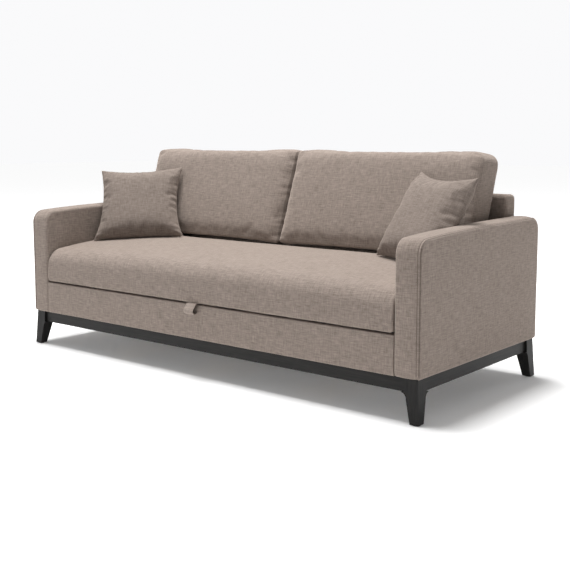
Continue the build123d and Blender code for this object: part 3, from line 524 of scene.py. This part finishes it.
def arm(side, name):
    low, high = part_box(name + "_arm_cover")
    middle, half_width = (low[0] + high[0]) / 2.0, (high[0] - low[0]) / 2.0
    straight = round_corners(
        [(low[1], low[2]), (high[1], low[2]), (high[1], high[2]), (low[1], ARM_FRONT_HEIGHT)],
        [ARM_FOOT_RADIUS, ARM_FOOT_RADIUS, ARM_CORNER_RADIUS, ARM_CORNER_RADIUS],
        0.028,
    )

    def outline_at(x):
        """Side view of the arm at a place across it."""
        crown = ARM_TOP_CROWN * (1.0 - ((x - middle) / half_width) ** 2)
        raised = []
        for spot in straight:
            upper = max(0.0, min(1.0, (spot.y - ARM_FRONT_HEIGHT) / ARM_CORNER_RADIUS + 1.0))
            raised.append(spot + Vector((0.0, upper * (crown + arm_bow(spot.x)))))
        return raised

    outer = high[0] if side > 0 else low[0]
    stitch_x = outer - side * (ARM_EDGE + ARM_STITCH_INSET)
    outer_end = "high" if side > 0 else "low"
    stations = sections(
        low[0], high[0], ARM_EDGE, spacing=0.008, crown=0.0008, grooves=[stitch_x], corner_seams=[outer_end]
    )
    points, faces = loft(outline_at, stations, belly=0.0015)
    piece = make_piece(name + "_arm", points, faces, LINEN, "base", [name + "_arm_cover"], ripple=ARM_RIPPLE)
    # Painted shade: faces in the stitched seam's groove and along the seam at the front corner get the darker
    # linen.
    piece.data.materials.append(SHADE_LINEN)
    edge_seam_x = outer - side * EDGE_SEAM_INSET
    for face in piece.data.polygons:
        in_seam = abs(face.center.x - stitch_x) < 0.5 * SEAM_HALF_WIDTH
        at_edge = abs(face.center.x - edge_seam_x) < EDGE_SEAM_HALF_WIDTH
        in_edge_seam = at_edge and face.center.y < low[1] + EDGE_SEAM_DEPTH
        if (in_seam or in_edge_seam) and face.center.z > low[2] + SEAM_START:
            face.material_index = 1
    row = []
    outline = outline_at(stitch_x)
    for spot, out in zip(outline, outward(outline)):
        if spot.y > low[2] + SEAM_START:
            row.append((Vector((stitch_x, spot.x, spot.y)), Vector((0.0, out.x, out.y))))
    return row


stitch_rows("arm_stitches", [arm(1.0, "right"), arm(-1.0, "left")], "base")

# Front fascia, wrapped over the top of the box front
low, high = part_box("fascia_cover")
panel_low, panel_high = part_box("box_front_panel")
fascia_outline = round_corners(
    [
        (low[1], low[2]), (panel_low[1], low[2]), (panel_low[1], panel_high[2]),
        (high[1], panel_high[2]), (high[1], high[2]), (low[1], high[2]),
    ],
    FASCIA_RADII,
    0.020,
)


def open_skin(outline, stations):
    """A skin along X with plain ends."""
    points, faces = [], []
    count = len(outline)
    ways = outward(outline)
    for x, inset in stations:
        points.extend((x, *(spot - out * inset)) for spot, out in zip(outline, ways))
    for ring in range(len(stations) - 1):
        for i in range(count):
            j = (i + 1) % count
            first = ring * count
            faces.append((first + i, first + j, first + count + j, first + count + i))
    faces.append(tuple(range(count)))
    faces.append(tuple(range(len(points) - count, len(points))))
    return points, faces


def even_stations(start, end, spacing):
    steps = max(1, round((end - start) / spacing))
    return [(start + (end - start) * step / steps, 0.0) for step in range(steps + 1)]


points, faces = open_skin(fascia_outline, sections(low[0], high[0], FASCIA_END, spacing=0.030))
fascia = make_piece("fascia", points, faces, LINEN, "base", ["fascia_cover"], ripple=FASCIA_RIPPLE)
# Painted shade: the fascia's upward faces, in the gap under the seat, get the darker linen.
fascia.data.materials.append(SHADE_LINEN)
for face in fascia.data.polygons:
    if face.normal.z > 0.7:
        face.material_index = 1

# Back panel
low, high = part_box("back_cover")
back_front = low[1]
back_outline = round_corners(
    [(low[1], low[2]), (high[1], low[2]), (high[1], high[2] + BACK_PUFF), (low[1], high[2] + BACK_PUFF)],
    BACK_RADII,
    0.022,
)
points, faces = loft(lambda x: back_outline, sections(low[0], high[0], BACK_END, spacing=0.030), belly=0.0)
make_piece("back_panel", points, faces, LINEN, "base", ["back_cover"], ripple=BACK_RIPPLE)

# Pad on the deck behind the seat
low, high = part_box("deck_pad")
pad_outline = round_corners(
    [(low[1], low[2]), (high[1], low[2]), (high[1], high[2]), (low[1], high[2])],
    PAD_RADII,
    0.020,
)
points, faces = open_skin(pad_outline, even_stations(low[0], high[0], 0.040))
make_piece("rear_deck_pad", points, faces, LINEN, "base", ["deck_pad"])

# Seat: a crowned top sewn to a front border, round behind, with the lid frame open to view from below
seat_low, seat_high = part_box("seat_cover")
lid_low, lid_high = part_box("lid_deck")


def seat_crown(x):
    return SEAT_CROWN_MIDDLE + (SEAT_CROWN_END - SEAT_CROWN_MIDDLE) * (x / seat_high[0]) ** 2


def seat_outline(x):
    """Side view of the seat at a place along it."""
    bottom = seat_low[2]
    corner = Vector((SEAT_FRONT, SEAT_EDGE_HEIGHT - SEAT_CORNER_DROP * (x / seat_high[0]) ** 6))
    front_low = Vector((SEAT_FRONT, bottom + SEAT_LOWER_RADIUS))
    points = along((SEAT_FRONT + SEAT_LOWER_RADIUS, bottom), (lid_low[1], bottom), 0.02)
    points += along((lid_low[1], bottom), (lid_high[1], bottom), 0.045)
    points += along((lid_high[1], bottom), (HINGE_Y, HINGE_Z - SEAT_RADIUS), 0.02)
    points += turned((HINGE_Y, HINGE_Z), SEAT_RADIUS, -90.0, 90.0, 22)
    crown = ((SEAT_FRONT + HINGE_Y) / 2.0, seat_crown(x))
    rear_top = Vector((HINGE_Y, HINGE_Z + SEAT_RADIUS))
    back = (arc_through(rear_top, crown, corner, SEAT_TOP_STEPS)[-4] - corner).normalized()
    ahead = (front_low - corner).normalized()
    half = back.angle(ahead) / 2.0
    reach = SEAT_ROLL_RADIUS / tan(half)
    centre = corner + (back + ahead).normalized() * SEAT_ROLL_RADIUS / sin(half)
    first = corner + back * reach - centre
    last = corner + ahead * reach - centre
    roll = turned(
        centre, SEAT_ROLL_RADIUS, atan2(first.y, first.x) * 180.0 / pi,
        atan2(last.y, last.x) % (2.0 * pi) * 180.0 / pi, SEAT_ROLL_STEPS,
    )
    points += arc_through(rear_top, crown, corner, SEAT_TOP_STEPS, 1.0 - reach / (rear_top - corner).length)
    points += roll
    middle = (SEAT_FRONT - SEAT_FRONT_BELLY, (corner.y - reach + front_low.y) / 2.0)
    points += arc_through(corner + ahead * reach, middle, front_low, 7)
    points += turned(
        (SEAT_FRONT + SEAT_LOWER_RADIUS, bottom + SEAT_LOWER_RADIUS), SEAT_LOWER_RADIUS, 180.0, 270.0, 5
    )
    return points


seat_stations = sections(seat_low[0], seat_high[0], SEAT_END, spacing=0.026)
seat_stations = sorted(seat_stations + [(-lid_high[0], 0.0), (lid_high[0], 0.0)])
points, faces = loft(seat_outline, seat_stations, belly=0.001)


def over_lid_frame(face):
    """Whether a face lies under the seat where the lid frame shows."""
    for i in face:
        x, y, z = points[i]
        if abs(x) > lid_high[0] + 0.001 or z > seat_low[2] + 0.003:
            return False
        if y < lid_low[1] - 0.001 or y > lid_high[1] + 0.001:
            return False
    return True


def swollen(x, y, z):
    """A spot of the seat moved out towards the arms in front."""
    ahead = max(0.0, min(1.0, (SEAT_SPREAD_FROM - y) / SEAT_SPREAD_RUN))
    above = max(0.0, min(1.0, (z - seat_low[2]) / SEAT_SPREAD_RISE))
    return x * (1.0 + SEAT_FRONT_SPREAD * ahead * above), y, z


faces = [face for face in faces if not over_lid_frame(face)]
points = [swollen(*point) for point in points]
seat = make_piece("seat", points, faces, LINEN, "seat_lid", ["seat_cover", "seat_foam"], ripple=SEAT_RIPPLE)
seat_rows = []
for side in (-1.0, 1.0):
    x = side * (seat_high[0] - SEAT_END - SEAT_STITCH_INSET)
    outline = seat_outline(x)
    row = []
    for spot, out in zip(outline, outward(outline)):
        if spot.x < HINGE_Y and spot.y > seat_low[2] + SEAM_START:
            row.append((Vector((x, *spot)), Vector((0.0, *out))))
    seat_rows.append(row)
stitch_rows("seat_stitches", seat_rows, "seat_lid")

# Pull loop: a folded strap under the front edge of the seat
low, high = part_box("pull_loop")
loop_front = low[1] - LOOP_PROUD
loop_y = (loop_front + LOOP_REAR) / 2.0
half_depth = (LOOP_REAR - loop_front) / 2.0 - LOOP_THICKNESS / 2.0
loop_top = high[2] - LOOP_THICKNESS / 2.0
lobe = Vector((loop_y, low[2] + LOOP_THICKNESS / 2.0 + half_depth))
neck = Vector((loop_y + 0.7 * half_depth, loop_top))
front = turned(lobe, half_depth, 150.0, 360.0, 18)
loop_path = along((high[1], loop_top), neck, 0.012)
loop_path += turned(neck - Vector((0.0, LOOP_BEND)), LOOP_BEND, 90.0, 150.0, 4)
loop_path += along(loop_path[-1], front[0], 0.005)[1:] + front
loop_back_top = (loop_y + half_depth, loop_top - 1.2 * LOOP_THICKNESS)
loop_path += along((loop_y + half_depth, lobe.y), loop_back_top, 0.006)


def strap_skin(path, x_low, x_high, thickness):
    """A flat strap along an open path in Y and Z."""
    points, faces = [], []
    spread = [(x_low, 0.25), (x_low + LOOP_EDGE, 0.5), (0.0, 0.5), (x_high - LOOP_EDGE, 0.5), (x_high, 0.25)]
    rim = [(x, part) for x, part in spread] + [(x, -part) for x, part in reversed(spread)]
    for index, spot in enumerate(path):
        way = path[min(index + 1, len(path) - 1)] - path[max(index - 1, 0)]
        out = Vector((way.y, -way.x)).normalized()
        points.extend((x, *(spot + out * thickness * part)) for x, part in rim)
    count = len(rim)
    for ring in range(len(path) - 1):
        for i in range(count):
            j = (i + 1) % count
            faces.append((ring * count + i, ring * count + j, (ring + 1) * count + j, (ring + 1) * count + i))
    faces.append(tuple(range(count)))
    faces.append(tuple(range(len(points) - count, len(points))))
    return points, faces


points, faces = strap_skin(loop_path, low[0], high[0], LOOP_THICKNESS)
pull_strap = make_piece("pull_strap", points, faces, LIT_STRAP_LINEN, "seat_lid", ["pull_loop"])
# Painted shade: the strap's inner side, in the hollow of the loop, gets the darker linen.
pull_strap.data.materials.append(SHADE_LINEN)
rim_count = (len(faces) - 2) // (len(loop_path) - 1)
for face in pull_strap.data.polygons[:-2]:
    if rim_count // 2 <= face.index % rim_count < rim_count - 1:
        face.material_index = 1


# Stuffed covers
def inflate(piece, seam, pressure, shrink, frames, cap, spread=1.0):
    """Fills a closed skin so that its panels crown and its seams gather; spread is the part kept along X."""
    scene = bpy.context.scene
    piece.vertex_groups.new(name="seam").add(seam, 1.0, "REPLACE")
    before = [point.co.copy() for point in piece.data.vertices]
    cloth = piece.modifiers.new("stuffing", "CLOTH")
    settings = cloth.settings
    settings.quality = 6
    settings.mass = 0.25
    settings.air_damping = 4.0
    settings.tension_stiffness = 18.0
    settings.compression_stiffness = 12.0
    settings.shear_stiffness = 6.0
    settings.bending_stiffness = 0.4
    settings.use_pressure = True
    settings.uniform_pressure_force = pressure
    settings.vertex_group_shrink = "seam"
    settings.shrink_min = 0.0
    settings.shrink_max = shrink
    settings.effector_weights.gravity = 0.0
    cloth.collision_settings.use_collision = False
    cloth.collision_settings.use_self_collision = False
    cloth.point_cache.frame_start = 1
    cloth.point_cache.frame_end = frames
    for step in range(1, frames + 1):
        scene.frame_set(step)
    stuffed = piece.evaluated_get(bpy.context.evaluated_depsgraph_get())
    after = [point.co.copy() for point in stuffed.data.vertices]
    piece.modifiers.remove(cloth)
    scene.frame_set(1)
    for point, old, new in zip(piece.data.vertices, before, after):
        move = new - old
        move.x *= spread
        if move.length > 1e-9:
            point.co = old + move.normalized() * cap * (1.0 - exp(-move.length / cap))


def subdivide(piece):
    finer = piece.modifiers.new("finer", "SUBSURF")
    finer.levels = 1
    finer.render_levels = 1


def folds(along_seam, away, seed, depth):
    """Height of the small folds that run out from a gathered seam, at a spot along it and away from it."""
    wave = noise.noise(Vector((along_seam / FOLD_PITCH, 0.2 * away / FOLD_PITCH, seed)))
    return depth * wave * exp(-away / FOLD_REACH)


def soft_box(size, corners, edges, spacing):
    """A box cushion of even squares about the origin, with round corners and edges, and its two seams."""
    counts = [max(2, round(length / spacing)) for length in size]
    half = [length / 2.0 for length in size]
    index, points, seam = {}, [], []

    def rounded(spot):
        corner = corners[2 * (spot.z > 0.0) + (spot.x > 0.0)]
        edge = edges[0] if spot.y < 0.0 else edges[1]
        inner = Vector([max(corner - half[a], min(half[a] - corner, spot[a])) for a in (0, 2)])
        away = Vector((spot.x, spot.z)) - inner
        beyond = max(0.0, max(abs(away.x), abs(away.y)) - corner + edge)
        over = max(0.0, abs(spot.y) - half[1] + edge)
        shrink = max(beyond, over) / hypot(beyond, over) if beyond and over else 1.0
        reach = max(abs(away.x), abs(away.y)) - beyond * (1.0 - shrink)
        depth = abs(spot.y) - over * (1.0 - shrink)
        flat = inner + away.normalized() * reach
        return Vector((flat.x, depth if spot.y > 0.0 else -depth, flat.y))

    def corner_point(key):
        if key not in index:
            index[key] = len(points)
            square = Vector([length * (k / n - 0.5) for length, k, n in zip(size, key, counts)])
            points.append(rounded(square))
            at_end = key[0] in (0, counts[0]) or key[2] in (0, counts[2])
            if key[1] in (0, counts[1]) and at_end:
                seam.append(index[key])
        return index[key]

    faces = []
    for axis in range(3):
        first, second = [a for a in range(3) if a != axis]
        for level in (0, counts[axis]):
            for i in range(counts[first]):
                for j in range(counts[second]):
                    face = []
                    for di, dj in ((0, 0), (1, 0), (1, 1), (0, 1)):
                        key = [0, 0, 0]
                        key[axis], key[first], key[second] = level, i + di, j + dj
                        face.append(corner_point(tuple(key)))
                    faces.append(tuple(face))
    return points, faces, seam


def leaning(back, up):
    """Y and Z of a spot measured back from the cushions' face plane and up along it."""
    share = up / CUSHION_TOP
    lift = up + back * (tan(CUSHION_LEAN) * (1.0 - share) + CUSHION_REAR_RISE * share)
    y = CUSHION_FOOT_Y + lift * sin(CUSHION_LEAN) + back * cos(CUSHION_LEAN)
    z = CUSHION_FOOT_Z + lift * cos(CUSHION_LEAN) - back * sin(CUSHION_LEAN)
    return y, z


def back_cushion(side):
    low, high = [list(corner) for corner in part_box(side + "_back_cushion_cover")]
    split_end = high if side == "left" else low
    split_end[0] += CUSHION_SPLIT_SHIFT
    size = (high[0] - low[0] - CUSHION_END_GAP, CUSHION_REAR - CUSHION_FACE, CUSHION_TOP)
    skin, faces, seam = soft_box(size, CUSHION_CORNERS[side], CUSHION_EDGES, CUSHION_SQUARE)
    points = []
    for spot in skin:
        y, z = leaning(spot.y + (CUSHION_REAR + CUSHION_FACE) / 2.0, spot.z + CUSHION_TOP / 2.0)
        points.append((spot.x + (low[0] + high[0]) / 2.0, y, z))
    nodes = [side + "_back_cushion_cover", side + "_back_cushion_core"]
    piece = make_piece(side + "_back_pad", points, faces, LINEN, side + "_back_cushion", nodes)
    # Painted shade: faces deep in the split between the cushions get the darker linen.
    piece.data.materials.append(SHADE_LINEN)
    for face in piece.data.polygons:
        if abs(face.center.x - split_end[0]) < SPLIT_SHADE[side]:
            face.material_index = 1
    inflate(piece, seam, **CUSHION_STUFFING)
    spots = [point.co for point in piece.data.vertices]
    left, right = min(spot.x for spot in spots), max(spot.x for spot in spots)
    stretch = (high[2] - CUSHION_FOOT_Z) / (max(spot.z for spot in spots) - CUSHION_FOOT_Z)
    for spot in spots:
        spot.x = low[0] + (spot.x - left) * (high[0] - low[0]) / (right - left)
        spot.z = CUSHION_FOOT_Z + max(0.0, spot.z - CUSHION_FOOT_Z) * stretch
        back = (spot.y - CUSHION_FOOT_Y) * cos(CUSHION_LEAN) - (spot.z - CUSHION_FOOT_Z) * sin(CUSHION_LEAN)
        face_share = max(0.0, 1.0 - back / CUSHION_FOLD_DEPTH)
        for seed, away in ((low[0], spot.x - low[0]), (high[0], high[0] - spot.x)):
            tucked = side == "left" and seed == high[0]
            rise = folds(spot.z, away, seed, SPLIT_FOLD if tucked else CUSHION_FOLD)
            if tucked:
                rise -= CUSHION_TUCK * exp(-away / CUSHION_TUCK_REACH)
            spot += Vector((0.0, -cos(CUSHION_LEAN), sin(CUSHION_LEAN))) * rise * face_share
        clear_of_lid = HINGE_Y + CUSHION_CLEAR_OF_LID - CUSHION_FOOT_SLOPE * (spot.z - CUSHION_FOOT_Z)
        spot.y = max(clear_of_lid, min(spot.y, back_front - BACK_GAP))
        spot.z = max(spot.z, CUSHION_FOOT_Z)
    subdivide(piece)


back_cushion("left")
back_cushion("right")


def seat_height(x, y):
    """Height of the seat's top at a place."""
    spots = [spot for spot in seat_outline(x) if spot.y > SEAT_EDGE_HEIGHT]
    spots.sort(key=lambda spot: spot.x)
    for first, second in zip(spots, spots[1:]):
        if first.x <= y <= second.x:
            share = (y - first.x) / max(1e-9, second.x - first.x)
            return first.y + (second.y - first.y) * share
    return 0.0


def clear_of_arm(spot):
    """The spot, or the nearest one outside the arm beside it."""
    slope = (arm_high[2] - ARM_FRONT_HEIGHT) / (arm_high[1] - arm_low[1])
    height = ARM_FRONT_HEIGHT + slope * (spot.y - arm_low[1])
    sideways = abs(spot.x) - arm_low[0] + PILLOW_SIDE_GAP
    upward = height + arm_bow(spot.y) + ARM_TOP_CROWN + PILLOW_TOP_GAP - spot.z
    if sideways <= 0.0 or upward <= 0.0:
        return spot
    if sideways < upward:
        return Vector((spot.x - sideways if spot.x > 0.0 else spot.x + sideways, spot.y, spot.z))
    return Vector((spot.x, spot.y, spot.z + upward))


def pillow(side):
    pose = PILLOW_POSES[side]
    draw_left, draw_right, draw_up = pose["draw"]
    across, up = PILLOW_SQUARES
    points, faces, seam, places, layers = [], [], [], [], []
    for face_side in (-1.0, 1.0):
        grid = {}
        for i in range(across + 1):
            for j in range(up + 1):
                rim = i in (0, across) or j in (0, up)
                if rim and layers:
                    grid[i, j] = layers[0][i, j]
                    continue
                u, v = 2.0 * i / across - 1.0, 2.0 * j / up - 1.0
                x = PILLOW_WIDTH / 2.0 * u - PILLOW_DRAW * u * (1.0 - v * v)
                draw = PILLOW_DRAW if v > 0.0 else PILLOW_FOOT_DRAW
                z = PILLOW_HEIGHT / 2.0 * v - draw * v * (1.0 - u * u)
                fill = ((1.0 - u ** 4) * (1.0 - v ** 4)) ** PILLOW_FULLNESS
                grid[i, j] = len(points)
                places.append((u, v, face_side))
                points.append(Vector((x, face_side * PILLOW_UNSTUFFED * PILLOW_HALF_THICKNESS * fill, z)))
                if rim:
                    seam.append(grid[i, j])
        for i in range(across):
            for j in range(up):
                faces.append((grid[i, j], grid[i + 1, j], grid[i + 1, j + 1], grid[i, j + 1]))
        layers.append(grid)
    nodes = [side + "_pillow_cover", side + "_pillow_insert"]
    piece = make_piece(
        side + "_scatter_pillow", points, faces, SHADED_PILLOW_LINEN, side + "_pillow", nodes
    )
    inflate(piece, seam, **PILLOW_STUFFING)
    spots = [point.co for point in piece.data.vertices]
    limits = (PILLOW_WIDTH / 2.0, PILLOW_HALF_THICKNESS, PILLOW_HEIGHT / 2.0)
    reach = [max(abs(spot[axis]) for spot in spots) for axis in range(3)]
    turn = (
        Matrix.Translation(pose["place"])
        @ Matrix.Rotation(radians(pose["yaw"]), 4, "Z")
        @ Matrix.Rotation(radians(-pose["lean"]), 4, "X")
        @ Matrix.Rotation(radians(pose["roll"]), 4, "Y")
    )
    for point, (u, v, face_side) in zip(piece.data.vertices, places):
        fitted = Vector([part * limit / most for part, limit, most in zip(point.co, limits, reach)])
        fitted.x *= 1.0 + PILLOW_SPREAD * max(0.0, -fitted.z / limits[2]) ** 2
        fitted.x -= (draw_right * max(0.0, u) ** 2 - draw_left * min(0.0, u) ** 2) * (1.0 - v * v)
        fitted.z -= draw_up * max(0.0, v) ** 2 * (1.0 - u * u)
        side_gap, end_gap = limits[0] * (1.0 - abs(u)), limits[2] * (1.0 - abs(v))
        rise = folds(fitted.z, side_gap, u // 1.0, PILLOW_FOLD)
        rise += folds(fitted.x, end_gap, v // 1.0, PILLOW_END_FOLD * PILLOW_FOLD)
        fitted.y += face_side * rise * min(1.0, PILLOW_FOLD_START * (1.0 - max(abs(u), abs(v))))
        ear_share = (0.25 * (1.0 + u * pose["ear"][0]) * (1.0 + v * pose["ear"][1])) ** 3
        fitted += ear_share * Vector(pose["ear_pull"])
        point.co = clear_of_arm(turn @ fitted)
        point.co.z = max(point.co.z, seat_height(point.co.x, point.co.y) + PILLOW_TOP_GAP)
    subdivide(piece)


pillow("left")
pillow("right")


# Floor, light and camera
def background_rays(nodes, links):
    """One for rays that show the background to the camera, in shiny surfaces or through glass, else zero."""
    rays = nodes.new("ShaderNodeLightPath").outputs
    kinds = ("Is Camera Ray", "Is Glossy Ray", "Is Transmission Ray")
    return weighted_sum(nodes, links, [(rays[kind], 1.0) for kind in kinds])


floor_points = [(x * FLOOR_REACH, y * FLOOR_REACH, 0.0) for x, y in ((-1, -1), (1, -1), (1, 1), (-1, 1))]
floor_mesh = bpy.data.meshes.new("floor")
floor_mesh.from_pydata(floor_points, [], [(0, 1, 2, 3)])
FLOOR, floor_nodes, floor_links, floor_shader = new_material("pale_floor", 0.9)
floor_shader.inputs["Base Color"].default_value = (0.97, 0.97, 0.97, 1.0)
floor_shader.inputs["Specular IOR Level"].default_value = 0.0
floor_links.new(background_rays(floor_nodes, floor_links), floor_shader.inputs["Emission Strength"])
distance = floor_nodes.new("ShaderNodeVectorMath")
distance.operation = "LENGTH"
floor_links.new(floor_nodes.new("ShaderNodeTexCoord").outputs["Object"], distance.inputs[0])
share = floor_nodes.new("ShaderNodeMath")
share.operation = "DIVIDE"
share.inputs[1].default_value = FLOOR_GLOW_REACH
floor_links.new(distance.outputs["Value"], share.inputs[0])
near, far = (FLOOR_GLOW_NEAR,) * 3, (FLOOR_GLOW_FAR,) * 3
glow = add_ramp(floor_nodes, floor_links, share.outputs[0], 0.20, 0.85, near, far)
floor_links.new(glow, floor_shader.inputs["Emission Color"])
floor_mesh.materials.append(FLOOR)
floor = bpy.data.objects.new("floor", floor_mesh)
bpy.context.scene.collection.objects.link(floor)


def soft_light(name, place, target, width, depth, power):
    data = bpy.data.lights.new(name, "AREA")
    data.shape = "RECTANGLE"
    data.size, data.size_y = width, depth
    data.energy = power
    lamp = bpy.data.objects.new(name, data)
    lamp.location = place
    lamp.rotation_euler = (Vector(target) - Vector(place)).to_track_quat("-Z", "Y").to_euler()
    bpy.context.scene.collection.objects.link(lamp)


soft_light("overhead", place=(-0.60, 0.05, 5.8), target=(0.0, 0.0, 0.0), width=3.2, depth=2.3, power=552.0)
soft_light("low_right", place=(4.6, -0.6, 0.40), target=(0.8, 0.0, 0.15), width=3.5, depth=0.7, power=22.0)
world = bpy.data.worlds.new("studio")
world.use_nodes = True
sky_nodes, sky_links = world.node_tree.nodes, world.node_tree.links
way = sky_nodes.new("ShaderNodeSeparateXYZ")
sky_links.new(sky_nodes.new("ShaderNodeTexCoord").outputs["Generated"], way.inputs["Vector"])
sky = add_ramp(sky_nodes, sky_links, way.outputs["Z"], 0.22, 0.50, BACKDROP_COLOUR, CEILING_COLOUR)
sky_links.new(sky, sky_nodes["Background"].inputs["Color"])
unseen = sky_nodes.new("ShaderNodeMath")
unseen.operation = "SUBTRACT"
unseen.inputs[0].default_value = 1.0
sky_links.new(background_rays(sky_nodes, sky_links), unseen.inputs[1])
from_right = sky_nodes.new("ShaderNodeMath")
from_right.operation = "MULTIPLY"
from_right.use_clamp = True
sky_links.new(way.outputs["X"], from_right.inputs[0])
sky_links.new(unseen.outputs[0], from_right.inputs[1])
strength = sky_nodes.new("ShaderNodeMath")
strength.operation = "MULTIPLY_ADD"
sky_links.new(from_right.outputs[0], strength.inputs[0])
strength.inputs[1].default_value = -RIGHT_SHADE
strength.inputs[2].default_value = 1.0
sky_links.new(strength.outputs[0], sky_nodes["Background"].inputs["Strength"])
bpy.context.scene.world = world
bpy.context.scene.view_settings.view_transform = "Standard"

lens = bpy.data.cameras.new("camera")
lens.lens = CAMERA_LENS
lens.sensor_width = 36.0
lens.shift_y = CAMERA_SHIFT
camera = bpy.data.objects.new("camera", lens)
camera.location = CAMERA_PLACE
camera.rotation_euler = (radians(90.0 - CAMERA_PITCH), 0.0, radians(CAMERA_YAW))
bpy.context.scene.collection.objects.link(camera)
bpy.context.scene.camera = camera
